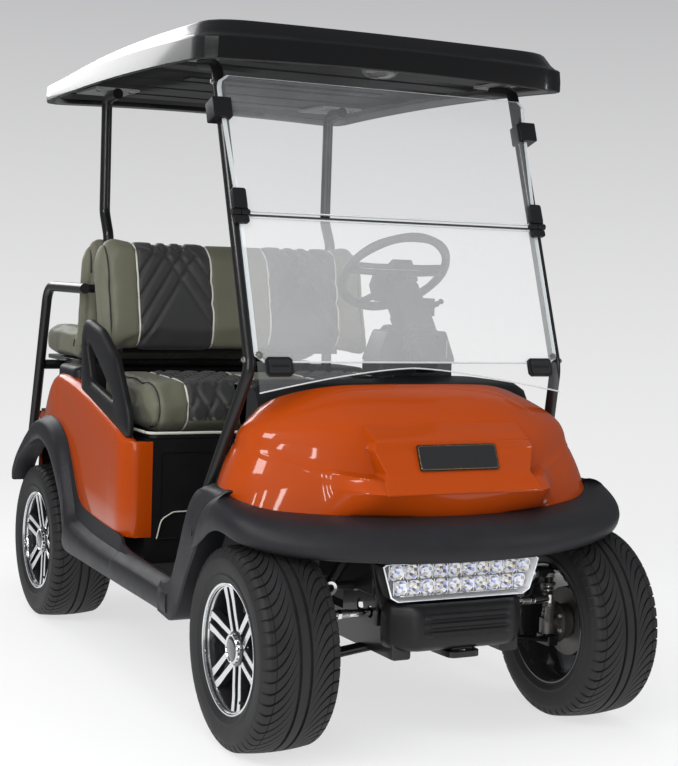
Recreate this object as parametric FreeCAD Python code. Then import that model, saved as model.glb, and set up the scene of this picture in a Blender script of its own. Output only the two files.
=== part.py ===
# Golf cart with four seats: front bench, rear-facing flip bench, canopy, folding windshield.
# Millimetres. +Z up, +Y to the rear, +X to the vehicle's left. The origin is on the ground, at the middle of
# the overall length and width. Names ending in back are distances behind the front axle.
import FreeCAD
import Part
import math
import os

V = FreeCAD.Vector

# Whole vehicle
overall_length = 2535.0
wheelbase = 1664.0
front_overhang = 265.0
front_track = 950.0
rear_track = 960.0
body_wall = 5.0
running_gap = 0.3
cut_overrun = 20.0

# Tyres and rims
tyre_radius = 260.0
tyre_width = 210.0
tyre_tread_width = 172.0
tyre_shoulder_radius = 232.0
rim_lip_radius = 165.0
rim_bead_radius = 154.0
rim_well_radius = 140.0
rim_well_half_width = 60.0
rim_wall = 5.0
rim_width = 196.0
rim_face_inset = 26.0
rim_face_depth = 16.0
rim_hub_radius = 42.0
rim_cap_radius = 27.0
rim_cap_height = 9.0
rim_spoke_pairs = 6
rim_spoke_width = 15.0
rim_spoke_root_offset = 14.0
rim_spoke_spread = 25.0
rim_drum_radius = 98.0
hub_bore_radius = 17.0
hub_bore_cover = 8.0

# Front suspension and steering gear
kingpin_inset = 85.0
kingpin_radius = 15.0
kingpin_length = 160.0
kingpin_drop = 48.0
knuckle_eye_radius = 24.0
knuckle_boss_height = 70.0
spindle_radius = 16.5
spindle_flange_radius = 60.0
spindle_flange_width = 10.0
steering_arm_length = 55.0
steering_arm_inset = 32.0
steering_arm_width = 30.0
steering_arm_thickness = 12.0
steering_arm_rise = 62.0
tie_rod_radius = 8.0
tie_rod_sleeve_radius = 12.0
tie_rod_sleeve_length = 60.0
tie_rod_end_radius = 15.0
tie_rod_end_height = 22.0
tie_rod_end_gap = 1.5
rack_half_length = 150.0
rack_housing_radius = 21.0
rack_boot_radius = 22.0
rack_boot_step = 6.0
rack_boot_length = 72.0
rack_boot_folds = 3
rack_bar_clearance = 0.5
rack_foot_width = 90.0
rack_foot_depth = 24.0
spring_half_length = 416.0
spring_leaf_width = 52.0
spring_seat_radius = 21.0
spring_leaf_thickness = 9.0
spring_gap = 1.0
spring_end_drop = 34.0
spring_second_leaf_share = 0.66
upper_arm_thickness = 8.0
upper_arm_root_width = 130.0
upper_arm_tip_width = 46.0
shock_body_radius = 20.0
shock_body_share = 0.62
shock_rod_radius = 8.0
shock_top_x = 228.0
shock_top_z = 470.0
shock_bottom_x = 300.0
shock_back = 40.0

# Chassis frame
rail_x = 160.0
rail_width = 50.0
rail_height = 76.0
rail_wall = 5.0
rail_low_z = 236.0
rail_high_z = 380.0
rail_front_back = -150.0
rail_kick_start_back = 1130.0
rail_kick_end_back = 1370.0
rail_rear_back = 1985.0
cross_tube_size = 50.0
cross_tube_backs = (420.0, 800.0, 1080.0)
hanger_width = 36.0
rack_hole_radius = 16.0
cradle_half_width = 200.0
cradle_length = 190.0
cradle_height = 70.0
tower_width = 34.0

# Floor
floor_thickness = 8.0
floor_half_width = 494.0
floor_rear_back = 1125.0
toe_low_back = 450.0
toe_high_back = 245.0
mat_thickness = 5.0
mat_margin = 28.0
mat_rib_height = 3.0
mat_rib_width = 10.0
mat_rib_count = 9

# Front cowl: the painted nose
cowl_half_width = 568.0
cowl_front_back = -105.0
cowl_rear_back = 240.0
cowl_seam = 0.5
plan_facets = 26
cowl_top_z = 912.0
cowl_plan_shares = ((0.0, 1.0), (0.38, 0.955), (0.69, 0.774), (0.843, 0.62), (0.965, 0.44), (1.0, 0.22),
                    (1.0, 0.0))
cowl_slice_shares = ((0.0, 1.0, 1.0), (0.35, 0.985, 0.97), (0.62, 0.93, 0.87), (0.82, 0.80, 0.68),
                     (0.94, 0.62, 0.50), (1.0, 0.36, 0.34))
cowl_edge_back = 206.0
cowl_notch_x = 448.0
cowl_notch_low_back = 236.0
cowl_notch_high_back = 120.0
scoop_half_width = 226.0
scoop_top_z = 784.0
scoop_mid_z = 756.0
scoop_face_low_z = 704.0
scoop_low_z = 662.0
scoop_top_back = -112.0
scoop_mid_back = -124.0
scoop_face_low_back = -144.0
scoop_lip_back = -186.0
scoop_foot_back = -176.0
scoop_recess = 16.0
scoop_root_back = -20.0
scoop_root_z = 846.0
plate_half_width = 122.0
plate_height = 50.0
plate_thickness = 5.0

# Front bumper and fenders, one moulding
bumper_half_width = 605.0
bumper_front_back = -265.0
bumper_rear_back = 236.0
bumper_low_z = 492.0
bumper_top_z = 604.0
bumper_depth = 60.0
bumper_wall = 6.0
bumper_plan_shares = ((0.0, 1.0), (0.36, 0.985), (0.71, 0.83), (0.90, 0.68), (1.0, 0.50), (0.995, 0.24),
                      (0.95, 0.0))
bumper_slice_shares = ((0.0, 0.28), (0.34, 0.0), (0.66, 0.03), (0.88, 0.32), (1.0, 0.80))
front_arch_reach = 322.0
front_arch_sides = 20

# Front liner, lamp and guard
liner_half_width = 225.0
liner_taper = 22.0
liner_wall = 5.0
liner_rear_back = 232.0
lamp_half_width_top = 222.0
lamp_half_width_low = 186.0
lamp_top_z = 486.0
lamp_face_back = -178.0
lamp_depth = 60.0
lamp_lens_thickness = 4.0
lamp_frame_width = 8.0
lamp_rib = 3.0
lamp_rib_depth = 26.0
lamp_cells = 9
guard_half_width = 196.0
guard_top_z = 384.0
guard_low_z = 290.0
guard_face_back = -206.0
guard_rear_back = -112.0
guard_corner = 36.0
guard_wall = 6.0
guard_rib_height = 5.0
guard_rib_thickness = 8.0
guard_rib_count = 3
tow_half_width = 40.0
tow_thickness = 12.0
tow_hole_radius = 9.5
tow_bar_depth = 12.0

# Dash and steering column
dash_half_width = 442.0
dash_front_back = 208.0
dash_crest_back = 330.0
dash_rear_back = 620.0
dash_front_z = 862.0
dash_top_z = 905.0
dash_roll = 34.0
dash_face_lean = 60.0
dash_corner = 16.0
dash_end_drop = 50.0
dash_end_width = 120.0
dash_low_z = 690.0
dash_wall = 8.0
pocket_half_width = 140.0
pocket_center_x = 226.0
pocket_depth = 200.0
pocket_height = 110.0
cup_radius = 40.0
cup_depth = 78.0
cup_back = 500.0
cup_x = 48.0
pod_center_x = 250.0
pod_half_width = 140.0
pod_low_z = 934.0
pod_top_z = 1040.0
pod_front_back = 540.0
pod_rear_back = 640.0
pod_frame = 12.0
column_tilt_deg = 50.0
column_radius = 27.0
column_length = 250.0
column_shroud_radius = 42.0
column_shroud_length = 120.0
column_shroud_share = 0.72
stalk_radius = 7.0
stalk_length = 105.0
steering_hub_back = 695.0
steering_hub_z = 1208.0
steering_rim_radius = 166.0
steering_rim_rise = 18.0
steering_grip_sides = 8
steering_grip_radius = 13.5
steering_boss_radius = 62.0
steering_boss_height = 30.0
steering_spoke_width = 44.0
steering_spoke_thickness = 12.0
steering_spoke_degrees = (0.0, 180.0, 270.0)
pedal_width = 88.0
pedal_height = 100.0
pedal_thickness = 10.0
pedal_arm_radius = 8.0
pedal_pitch = 70.0
pedal_narrow_share = 0.62
pedal_back = 470.0
pedal_z = 410.0
pedal_lean_deg = -28.0
pedal_bracket_drop = 22.0
pedal_bracket_height = 56.0
pedal_bracket_thickness = 10.0

# Windshield
windshield_rake_deg = 19.5
windshield_fold_back = 250.0
windshield_fold_z = 1348.0
windshield_half_width = 466.0
windshield_flare = 20.0
windshield_thickness = 5.0
windshield_low_length = 400.0
windshield_skirt = 90.0
windshield_high_length = 384.0
windshield_gap = 8.0
windshield_corner = 26.0
hinge_radius = 8.0
hinge_length = 36.0
hinge_stand = 17.0
hinge_gap = 6.0
hinge_web_share = 0.6
hinge_flag_height = 60.0
hinge_flag_thickness = 5.0
latch_width = 58.0
latch_height = 62.0
retainer_x = 400.0
retainer_width = 75.0
retainer_height = 34.0
retainer_depth = 24.0
retainer_gap = 0.8
clip_width = 14.0
clip_length = 46.0

# Struts and canopy
strut_radius = 16.0
strut_gap = 4.0
strut_half_span = 470.0
strut_foot_half_span = 526.0
strut_foot_back = 340.0
strut_knee_back = 262.0
strut_knee_z = 615.0
strut_bend_z = 954.0
strut_bend_radius = 70.0
strut_top_run = 110.0
rear_strut_radius = 17.5
rear_strut_half_span = 409.0
rear_strut_back = 1506.0
rear_strut_bend_z = 1378.0
rear_strut_low_back = 1461.0
rear_strut_low_z = 1300.0
rear_strut_bend_radius = 60.0
roof_half_width = 555.0
roof_front_back = 271.0
roof_length = 1456.0
roof_corner = 62.0
roof_low_z = 1742.0
roof_side_height = 56.0
roof_slope_height = 48.0
roof_slope_width = 38.0
roof_draft = 6.0
roof_crown_height = 14.0
roof_crown_inset = 150.0
roof_wall = 5.0
roof_liner_z = 1778.0
roof_liner_thickness = 9.0

# Front bench
seat_deck_z = 692.0
seat_margin = 14.0
seat_corner = 24.0
seat_front_back = 818.0
seat_rear_back = 1244.0
seat_half_width = 492.0
seat_board_thickness = 14.0
seat_cushion_height = 165.0
seat_nose_slope = 40.0
seat_nose_drop = 18.0
seat_back_low_back = 1256.0
seat_back_low_z = 920.0
seat_back_top_z = 1288.0
seat_back_lean = 92.0
seat_back_thickness = 84.0
seat_back_half_width = 480.0

# Rear bench, facing the rear
rear_seat_front_back = 1620.0
rear_seat_rear_back = 2044.0
rear_seat_z = 862.0
rear_board_thickness = 14.0
rear_seat_half_width = 456.0
rear_seat_cushion_height = 112.0
rear_back_low_back = 1610.0
rear_back_low_z = 920.0
rear_back_top_z = 1288.0
rear_back_lean = 55.0
rear_back_thickness = 70.0
rear_back_half_width = 474.0
rear_seat_rail_x = 380.0

# Rear body, trims and rear frame
body_half_width = 562.0
body_tail_half_width = 505.0
body_front_back = 830.0
body_taper_back = 1560.0
body_rear_back = 1905.0
body_corner = 58.0
body_low_z = 405.0
body_low_knee_back = 1010.0
body_low_rise = 60.0
body_front_top_z = 684.0
body_peak_back = 1530.0
body_slope_back = 1715.0
body_peak_z = 812.0
body_rear_top_z = 690.0
arch_liner_radius = 384.0
arch_trim_inner = 376.0
arch_trim_outer = 545.0
arch_trim_wall = 6.0
arch_trim_long = 545.0
arch_trim_high = 430.0
arch_trim_shift = 24.0
arch_trim_center_z = 300.0
arch_trim_rear_low_z = 455.0
rocker_step = 3.0
rocker_low_z = 274.0
rocker_rear_low_z = 290.0
rocker_top_z = 400.0
rocker_front_top_z = 362.0
rocker_front_back = 345.0
rocker_corner = 18.0
kick_outer_x = 552.0
kick_wall = 7.0
kick_low_back = 345.0
kick_front_low_back = 318.0
kick_front_low_z = 380.0
kick_front_mid_back = 277.0
kick_front_mid_z = 468.0
kick_top_back = 246.0
kick_top_z = 600.0
kick_width = 52.0
kick_root_back = 462.0
seat_base_half_width = 490.0
seat_base_rear_back = 1262.0
seat_deck_rear_back = 1500.0
panel_thickness = 8.0
panel_recess_share = 0.9
panel_recess_low = 40.0
deck_thickness = 10.0
wheel_well_inner_x = 340.0
battery_half_width = 350.0
battery_front_back = 860.0
battery_rear_back = 1110.0
battery_low_z = 330.0
battery_high_z = 606.0
hip_inner_x = 515.0
hip_width = 38.0
hip_front_back = 838.0
hip_shoulder_z = 738.0
hip_apex_front_back = 1236.0
hip_apex_rear_back = 1296.0
hip_apex_z = 1034.0
hip_rear_back = 1222.0
hip_corner = 9.0
hip_hole_front_back = 972.0
hip_hole_front_z = 775.0
hip_hole_rear_back = 1172.0
hip_hole_rear_z = 800.0
hip_hole_top_back = 1231.0
hip_hole_top_z = 948.0
hip_hole_corner = 5.0
frame_tube_radius = 17.0
frame_stub_radius = 14.0
seat_rail_radius = 13.0
seat_post_radius = 15.0
side_tube_x = 500.0
side_tube_front_back = 1417.0
side_tube_z = 1124.0
side_tube_bend_back = 1830.0
side_tube_knee_back = 1985.0
side_tube_knee_z = 595.0
side_tube_low_back = 2060.0
side_tube_bend_radius = 75.0
footplate_half_width = 450.0
footplate_front_back = 2020.0
footplate_thickness = 22.0
footplate_z = 352.0
footplate_corner = 26.0
footplate_ribs = 5
footplate_arm_width = 40.0
footplate_arm_start = 120.0
footplate_arm_drop = 60.0
tail_lamp_x = 440.0
tail_lamp_radius = 34.0
tail_lamp_z = 620.0
tail_lamp_depth = 22.0

# Rear axle and springs
axle_tube_radius = 38.0
differential_radius = 92.0
differential_width = 140.0
motor_radius = 82.0
motor_length = 220.0
motor_offset = 150.0
motor_rise = 20.0
drum_width = 46.0
rear_spring_x = 300.0
rear_spring_half_length = 330.0
rear_spring_width = 50.0
rear_spring_thickness = 16.0
rear_spring_rise = 50.0

# Places worked out from the sizes above
toe_high_z = dash_low_z - running_gap
lamp_low_z = guard_top_z + running_gap
tower_top_z = shock_top_z + shock_rod_radius + rail_wall
liner_top_z = bumper_top_z - bumper_wall - running_gap
cowl_low_z = bumper_top_z + cowl_seam
rocker_half_width = bumper_half_width - rocker_step
spring_center_z = rail_low_z - spring_gap
nose_y = -overall_length / 2
tail_y = overall_length / 2
front_axle_y = nose_y + front_overhang
floor_z = rail_low_z + rail_height + running_gap
cradle_low_z = rail_low_z + rail_height
arm_z = tyre_radius + steering_arm_rise
tie_rod_z = arm_z + steering_arm_thickness / 2 + tie_rod_end_gap + tie_rod_end_height / 2


def at(back):
    """Place along the vehicle, from a distance behind the front axle."""
    return front_axle_y + back


def box(x0, x1, y0, y1, z0, z1):
    return Part.makeBox(x1 - x0, y1 - y0, z1 - z0, V(x0, y0, z0))


def mirrored(shape):
    return shape.mirror(V(0, 0, 0), V(1, 0, 0))


def both(*shapes):
    """The shapes and their mirror images on the other side."""
    return list(shapes) + [mirrored(shape) for shape in shapes]


def rod(start, end, radius):
    line = end.sub(start)
    return Part.makeCylinder(radius, line.Length, start, line)


def ring(start, end, radius, bore):
    line = end.sub(start)
    return rod(start, end, radius).cut(rod(start.sub(line), end.add(line), bore))


def joined(shapes):
    result = shapes[0]
    if len(shapes) > 1:
        result = result.fuse(shapes[1:])
    return result.removeSplitter()


def group(shapes):
    return Part.makeCompound([solid for shape in shapes for solid in shape.Solids])


def bend_edges(points, radius, closed):
    """Straight edges through the points, with an arc of the radius at each corner."""
    count = len(points)
    corners = range(count) if closed else range(1, count - 1)
    cuts = {}
    for index in corners:
        here = points[index]
        back = points[index - 1].sub(here)
        ahead = points[(index + 1) % count].sub(here)
        turn = back.getAngle(ahead)
        if abs(math.pi - turn) < 1e-6:
            continue
        reach = min(radius / math.tan(turn / 2), back.Length * 0.45, ahead.Length * 0.45)
        back.normalize()
        ahead.normalize()
        middle = back.add(ahead)
        middle.normalize()
        bend = reach * math.tan(turn / 2)
        deep = middle * (reach / math.cos(turn / 2) - bend)
        cuts[index] = (here.add(back * reach), here.add(deep), here.add(ahead * reach))
    edges = []
    legs = range(count) if closed else range(count - 1)
    for index in legs:
        follower = (index + 1) % count
        start = cuts[index][2] if index in cuts else points[index]
        end = cuts[follower][0] if follower in cuts else points[follower]
        if start.distanceToPoint(end) > 1e-6:
            edges.append(Part.LineSegment(start, end).toShape())
        if follower in cuts:
            edges.append(Part.Arc(*cuts[follower]).toShape())
    return edges


def loop(points, radius=0.0):
    if radius:
        return Part.Wire(Part.__sortEdges__(bend_edges(points, radius, True)))
    return Part.makePolygon(list(points) + [points[0]])


def side_prism(outline, x0, x1, radius=0.0):
    """An outline of (y, z) places pulled across the vehicle from x0 to x1."""
    points = [V(x0, y, z) for y, z in outline]
    return Part.Face(loop(points, radius)).extrude(V(x1 - x0, 0, 0))


def plan_prism(outline, z0, z1, radius=0.0):
    """An outline of (x, y) places pulled up from z0 to z1."""
    points = [V(x, y, z0) for x, y in outline]
    return Part.Face(loop(points, radius)).extrude(V(0, 0, z1 - z0))


def front_prism(outline, y0, y1, radius=0.0):
    """An outline of (x, z) places pulled along the vehicle from y0 to y1."""
    points = [V(x, y0, z) for x, z in outline]
    return Part.Face(loop(points, radius)).extrude(V(0, y1 - y0, 0))


def bent_bar(points, radius, bend):
    """A round bar along straight runs, with a true arc at each corner."""
    pieces = []
    for edge in bend_edges(points, bend, False):
        start = edge.valueAt(edge.FirstParameter)
        if isinstance(edge.Curve, Part.Circle):
            along = edge.tangentAt(edge.FirstParameter)
            section = Part.Face(Part.Wire(Part.makeCircle(radius, start, along)))
            turn = math.degrees(edge.Length / edge.Curve.Radius)
            pieces.append(section.revolve(edge.Curve.Center, edge.Curve.Axis, turn))
        else:
            pieces.append(rod(start, edge.valueAt(edge.LastParameter), radius))
    return joined(pieces)


def bent_tube(points, radius, bend, bore=0.0):
    bar = bent_bar(points, radius, bend)
    return bar.cut(bent_bar(points, bore, bend)) if bore else bar


def spline_loop(half, z):
    """A closed plan outline: facets on a curve round the front, straight across the rear."""
    run = [V(-x, y, z) for x, y in reversed(half) if x] + [V(x, y, z) for x, y in half]
    curve = Part.BSplineCurve()
    curve.interpolate(run)
    points = curve.discretize(Number=plan_facets)
    return Part.makePolygon(points + [points[0]])


def turned(points, axle_x, axle_y, axle_z):
    """A closed (x, radius) outline spun about an axle that runs across the vehicle."""
    wire = Part.makePolygon([V(x, 0, r) for x, r in list(points) + [points[0]]])
    solid = Part.Face(wire).revolve(V(0, 0, 0), V(1, 0, 0), 360)
    solid.translate(V(axle_x, axle_y, axle_z))
    return solid


def save(name, shape):
    shape.exportStep(os.path.join("parts", name + ".step"))


front_axle_z = tyre_radius
front_wheel_x = front_track / 2
rear_wheel_x = rear_track / 2
rear_axle_y = at(wheelbase)
kingpin_x = front_wheel_x - kingpin_inset
kingpin_top_z = front_axle_z + kingpin_length - kingpin_drop
kingpin_low_z = front_axle_z - kingpin_drop


# Wheels
def tyre(x, y):
    half = tyre_width / 2
    tread = tyre_tread_width / 2
    bead = rim_width / 2 - rim_wall - running_gap
    side = [(tread, tyre_radius), (half, tyre_shoulder_radius), (bead, rim_lip_radius),
            (bead, rim_bead_radius + running_gap)]
    outline = side + [(-px, pr) for px, pr in reversed(side)]
    return turned(outline, x, y, tyre_radius)


def wheel(x, y):
    """Rim for the left side: barrel, dished hub, paired spokes and a plain cap."""
    half = rim_width / 2
    deep = rim_well_radius - rim_wall
    side = [(half, rim_lip_radius), (half - rim_wall, rim_lip_radius), (half - rim_wall, rim_bead_radius),
            (rim_well_half_width, rim_well_radius)]
    outline = side + [(-px, pr) for px, pr in reversed(side)] + [(-half, deep), (half, deep)]
    barrel = turned(outline, 0, 0, 0)
    face = half - rim_face_inset
    root = face - rim_face_depth
    hub = rod(V(root - rim_face_depth, 0, 0), V(face, 0, 0), rim_hub_radius)
    cap = rod(V(face, 0, 0), V(face + rim_cap_height, 0, 0), rim_cap_radius)
    cap = cap.makeChamfer(rim_cap_height / 2, [cap.Edges[0]])
    pieces = [barrel, hub, cap]
    for pair in range(rim_spoke_pairs):
        for side in (-1, 1):
            outline = [(side * rim_spoke_root_offset - rim_spoke_width / 2, 0),
                       (side * rim_spoke_root_offset + rim_spoke_width / 2, 0),
                       (side * rim_spoke_spread + rim_spoke_width / 2, deep + rim_wall / 2),
                       (side * rim_spoke_spread - rim_spoke_width / 2, deep + rim_wall / 2)]
            points = [V(root, py, pz) for py, pz in outline]
            spoke = Part.Face(loop(points)).extrude(V(rim_face_depth, 0, 0))
            spoke.rotate(V(0, 0, 0), V(1, 0, 0), pair * 360 / rim_spoke_pairs)
            pieces.append(spoke)
    rim = joined(pieces)
    rim = rim.cut(rod(V(root - rim_face_depth - cut_overrun, 0, 0), V(face - hub_bore_cover, 0, 0),
                      hub_bore_radius))
    rim.translate(V(x, y, tyre_radius))
    return rim.Solids[0]


# Front suspension
def knuckle():
    """Left steering knuckle: kingpin tube, spindle, brake flange and steering arm."""
    y = at(0)
    eye = V(kingpin_x - steering_arm_inset, at(-steering_arm_length), arm_z)
    tube = rod(V(kingpin_x, y, kingpin_low_z), V(kingpin_x, y, kingpin_top_z), kingpin_radius)
    boss = rod(V(kingpin_x, y, front_axle_z - knuckle_boss_height / 2),
               V(kingpin_x, y, front_axle_z + knuckle_boss_height / 2), knuckle_eye_radius)
    hub_root = front_wheel_x + rim_width / 2 - rim_face_inset - 2 * rim_face_depth - running_gap
    spindle_end = hub_root + 2 * rim_face_depth - hub_bore_cover - running_gap
    spindle = rod(V(kingpin_x, y, front_axle_z), V(spindle_end, y, front_axle_z), spindle_radius)
    flange = rod(V(hub_root - spindle_flange_width, y, front_axle_z), V(hub_root, y, front_axle_z),
                 spindle_flange_radius)
    half = steering_arm_width / 2
    arm = plan_prism([(kingpin_x - half, y), (kingpin_x + half, y), (eye.x + half, eye.y),
                      (eye.x - half, eye.y)],
                     arm_z - steering_arm_thickness / 2, arm_z + steering_arm_thickness / 2)
    end = rod(V(eye.x, eye.y, arm_z - steering_arm_thickness / 2),
              V(eye.x, eye.y, arm_z + steering_arm_thickness / 2), half)
    root = rod(V(kingpin_x, y, arm_z - steering_arm_thickness), V(kingpin_x, y, arm_z + steering_arm_thickness),
               knuckle_eye_radius)
    return joined([tube, boss, spindle, flange, arm, end, root])


def tie_rods():
    """Rack bar with a track rod and a ball end each side, one sliding piece."""
    y = at(-steering_arm_length)
    z = tie_rod_z
    end_x = kingpin_x - steering_arm_inset
    bar = rod(V(-end_x, y, z), V(end_x, y, z), tie_rod_radius)
    pieces = [bar]
    for side in (-1, 1):
        pieces.append(rod(V(side * (end_x - tie_rod_sleeve_length / 2), y, z),
                          V(side * (end_x - tie_rod_sleeve_length * 3 / 2), y, z), tie_rod_sleeve_radius))
        pieces.append(rod(V(side * end_x, y, z - tie_rod_end_height / 2),
                          V(side * end_x, y, z + tie_rod_end_height / 2), tie_rod_end_radius))
    return joined(pieces)


def steering_rack():
    """Fixed rack housing with a folded boot at each end, bored for the bar."""
    y = at(-steering_arm_length)
    z = tie_rod_z
    pieces = [rod(V(-rack_half_length, y, z), V(rack_half_length, y, z), rack_housing_radius)]
    pitch = rack_boot_length / rack_boot_folds
    for side in (-1, 1):
        for fold in range(rack_boot_folds):
            start = side * (rack_half_length + fold * pitch - rack_boot_length)
            cone = Part.makeCone(rack_boot_radius, rack_boot_radius - rack_boot_step, pitch,
                                 V(start, y, z), V(side, 0, 0))
            pieces.append(cone)
    bore = tie_rod_radius + rack_bar_clearance
    housing = joined(pieces).cut(rod(V(-overall_length, y, z), V(overall_length, y, z), bore))
    foot = box(-rack_foot_width / 2, rack_foot_width / 2, y - rack_foot_depth / 2, y + rack_foot_depth / 2,
               cradle_low_z + rail_wall + running_gap, z - bore)
    return housing.fuse(foot.cut(rod(V(-overall_length, y, z), V(overall_length, y, z), bore))).removeSplitter()


def leaf(half_length, drop, top_z, width, thickness, y, share=1.0, layer=0):
    """One arched leaf across the vehicle; each layer lies under the one before. A drop below zero sags."""
    radius = (half_length ** 2 + drop ** 2) / (2 * drop)
    center = V(0, y - width / 2, top_z - radius)
    reach = math.asin(share * half_length / abs(radius))
    arcs = []
    outer = radius - layer * (thickness + running_gap)
    for size in (outer, outer - thickness):
        arcs.append([center.add(V(math.sin(turn) * abs(size), 0, math.cos(turn) * size))
                     for turn in (-reach, 0, reach)])
    top, low = arcs
    face = Part.Face(Part.Wire([Part.Arc(*top).toShape(), Part.LineSegment(top[2], low[2]).toShape(),
                                Part.Arc(*reversed(low)).toShape(), Part.LineSegment(low[0], top[0]).toShape()]))
    return face.extrude(V(0, width, 0))


def front_leaf_spring():
    seats = []
    for side in (-1, 1):
        seats.append(rod(V(side * kingpin_x, at(0), spring_center_z - spring_end_drop - spring_leaf_thickness / 2),
                         V(side * kingpin_x, at(0), kingpin_low_z - running_gap), spring_seat_radius))
    size = (spring_half_length, spring_end_drop, spring_center_z, spring_leaf_width, spring_leaf_thickness, at(0))
    return group([joined([leaf(*size)] + seats), leaf(*size, share=spring_second_leaf_share, layer=1)])


def front_arms():
    """Upper arm and damper of each side, fixed at ride height."""
    y = at(0)
    z = kingpin_top_z + running_gap
    root = upper_arm_root_width / 2
    tip = upper_arm_tip_width / 2
    arm = plan_prism([(cradle_half_width, y - root), (kingpin_x, y - tip), (kingpin_x, y + tip),
                      (cradle_half_width, y + root)], z, z + upper_arm_thickness)
    arm = arm.fuse(rod(V(kingpin_x, y, z), V(kingpin_x, y, z + upper_arm_thickness), tip))
    inner = (cradle_half_width + kingpin_x) / 2
    arm = arm.cut(rod(V(inner - tip, y, z - cut_overrun), V(inner - tip, y, z + cut_overrun), tip))
    low = V(shock_bottom_x, at(shock_back), z + upper_arm_thickness)
    high = V(shock_top_x, at(shock_back), shock_top_z)
    middle = low.add((high - low) * shock_body_share)
    pieces = [arm, rod(low, high, shock_rod_radius), rod(low, middle, shock_body_radius),
              box(shock_bottom_x - shock_body_radius, shock_bottom_x + shock_body_radius,
                  at(shock_back) - tip, at(shock_back) + tip / 2, z, z + 2 * upper_arm_thickness)]
    high_pad = box(cradle_half_width + running_gap, shock_top_x + shock_body_radius,
                   at(shock_back) - shock_body_radius, at(shock_back) + shock_body_radius,
                   shock_top_z - shock_rod_radius, shock_top_z + shock_rod_radius)
    pieces.append(high_pad)
    return group(both(joined(pieces)))


# Chassis
def rail_outline(inset=0.0):
    low = rail_low_z + inset
    high = rail_low_z + rail_height - inset
    rise = rail_high_z - rail_low_z
    ends = inset and cut_overrun
    return [(at(rail_front_back) - ends, low), (at(rail_kick_start_back) + inset, low),
            (at(rail_kick_end_back) + inset, low + rise), (at(rail_rear_back) + ends, low + rise),
            (at(rail_rear_back) + ends, high + rise), (at(rail_kick_end_back) - inset, high + rise),
            (at(rail_kick_start_back) - inset, high), (at(rail_front_back) - ends, high)]


def chassis_rails():
    outer = side_prism(rail_outline(), rail_x - rail_width / 2, rail_x + rail_width / 2)
    inner = side_prism(rail_outline(rail_wall), rail_x - rail_width / 2 + rail_wall,
                       rail_x + rail_width / 2 - rail_wall)
    return group(both(outer.cut(inner)))


def chassis_cross():
    """Cross tubes between and outside the rails, the front cradle and the damper towers."""
    half = cross_tube_size / 2
    inner = rail_x - rail_width / 2
    outer = rail_x + rail_width / 2
    top = rail_low_z + rail_height
    pieces = []
    for back in cross_tube_backs:
        pieces.append(box(-inner, inner, at(back) - half, at(back) + half, top - cross_tube_size, top))
        pieces += both(box(outer, floor_half_width, at(back) - half, at(back) + half, top - cross_tube_size, top))
    spring_top = tyre_radius + axle_tube_radius + 2 * running_gap + rear_spring_thickness + rear_spring_rise
    rise = rail_high_z - rail_low_z
    for side in (-1, 1):
        y = rear_axle_y + side * (rear_spring_half_length - hanger_width / 2)
        pieces += both(box(outer, rear_spring_x + rear_spring_width / 2, y - hanger_width / 2, y + hanger_width / 2,
                           spring_top, rail_low_z + rise + rail_height / 2))
    rear = at(rail_rear_back) - half
    high = rail_high_z + rail_height
    pieces.append(box(-inner, inner, rear - half, rear + half, high - cross_tube_size, high))
    return group(pieces)


def front_cradle():
    """Channel over the rails that carries the upper arms, the dampers and the rack."""
    y = at(0)
    low = rail_low_z + rail_height
    wide = cradle_half_width
    length = cradle_length / 2
    block = box(-wide, wide, y - length, y + length, low, low + cradle_height)
    hollow = box(-wide + rail_wall, wide - rail_wall, y - length - cut_overrun, y + length + cut_overrun,
                 low + rail_wall, low + cradle_height + cut_overrun)
    lightening = rod(V(-overall_length, y, low + cradle_height / 2), V(overall_length, y, low + cradle_height / 2),
                     cradle_height / 4)
    passage = rod(V(-overall_length, at(-steering_arm_length), tie_rod_z),
                  V(overall_length, at(-steering_arm_length), tie_rod_z), rack_hole_radius)
    tower = box(wide - rail_wall, wide, at(shock_back) - tower_width, at(shock_back) + tower_width,
                low + cradle_height, tower_top_z)
    return joined([block.cut(hollow).cut(lightening).cut(passage)] + both(tower))


# Floor
def toe_outline(lift, thickness):
    """Floor and toe board in one sheet, as seen from the side."""
    low = floor_z + lift
    lean = (toe_low_back - toe_high_back) / (toe_high_z - floor_z)
    return [(at(toe_high_back), toe_high_z), (at(toe_low_back) - lift * lean, low), (at(floor_rear_back), low),
            (at(floor_rear_back), low + thickness), (at(toe_low_back) + thickness * lean, low + thickness),
            (at(toe_high_back) + thickness, toe_high_z)]


def toe_face(z):
    """Where the rear face of the toe board stands at this height."""
    high, low = toe_outline(0, floor_thickness)[-1], toe_outline(0, floor_thickness)[-2]
    return high[0] + (low[0] - high[0]) * (high[1] - z) / (high[1] - low[1])


def floor_pan():
    return side_prism(toe_outline(0, floor_thickness), -floor_half_width, floor_half_width)


def floor_mat():
    """Ribbed rubber mat on the floor and up the toe board."""
    half = floor_half_width - mat_margin
    low = floor_z + floor_thickness
    rear = body_front_back - mat_margin
    mat = box(-half, half, at(toe_low_back) + mat_margin, at(rear), low, low + mat_thickness)
    run = rear - toe_low_back - mat_margin
    ribs = []
    for index in range(mat_rib_count):
        y = at(toe_low_back) + mat_margin + run * (index + 1) / (mat_rib_count + 1)
        ribs.append(box(-half, half, y - mat_rib_width / 2, y + mat_rib_width / 2, low,
                        low + mat_thickness + mat_rib_height))
    return joined([mat] + ribs)


# Nose
def scaled_half(shares, half_width, rear_back, reach):
    return [(half_width * sx, at(rear_back - reach * sy)) for sx, sy in shares]


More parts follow.
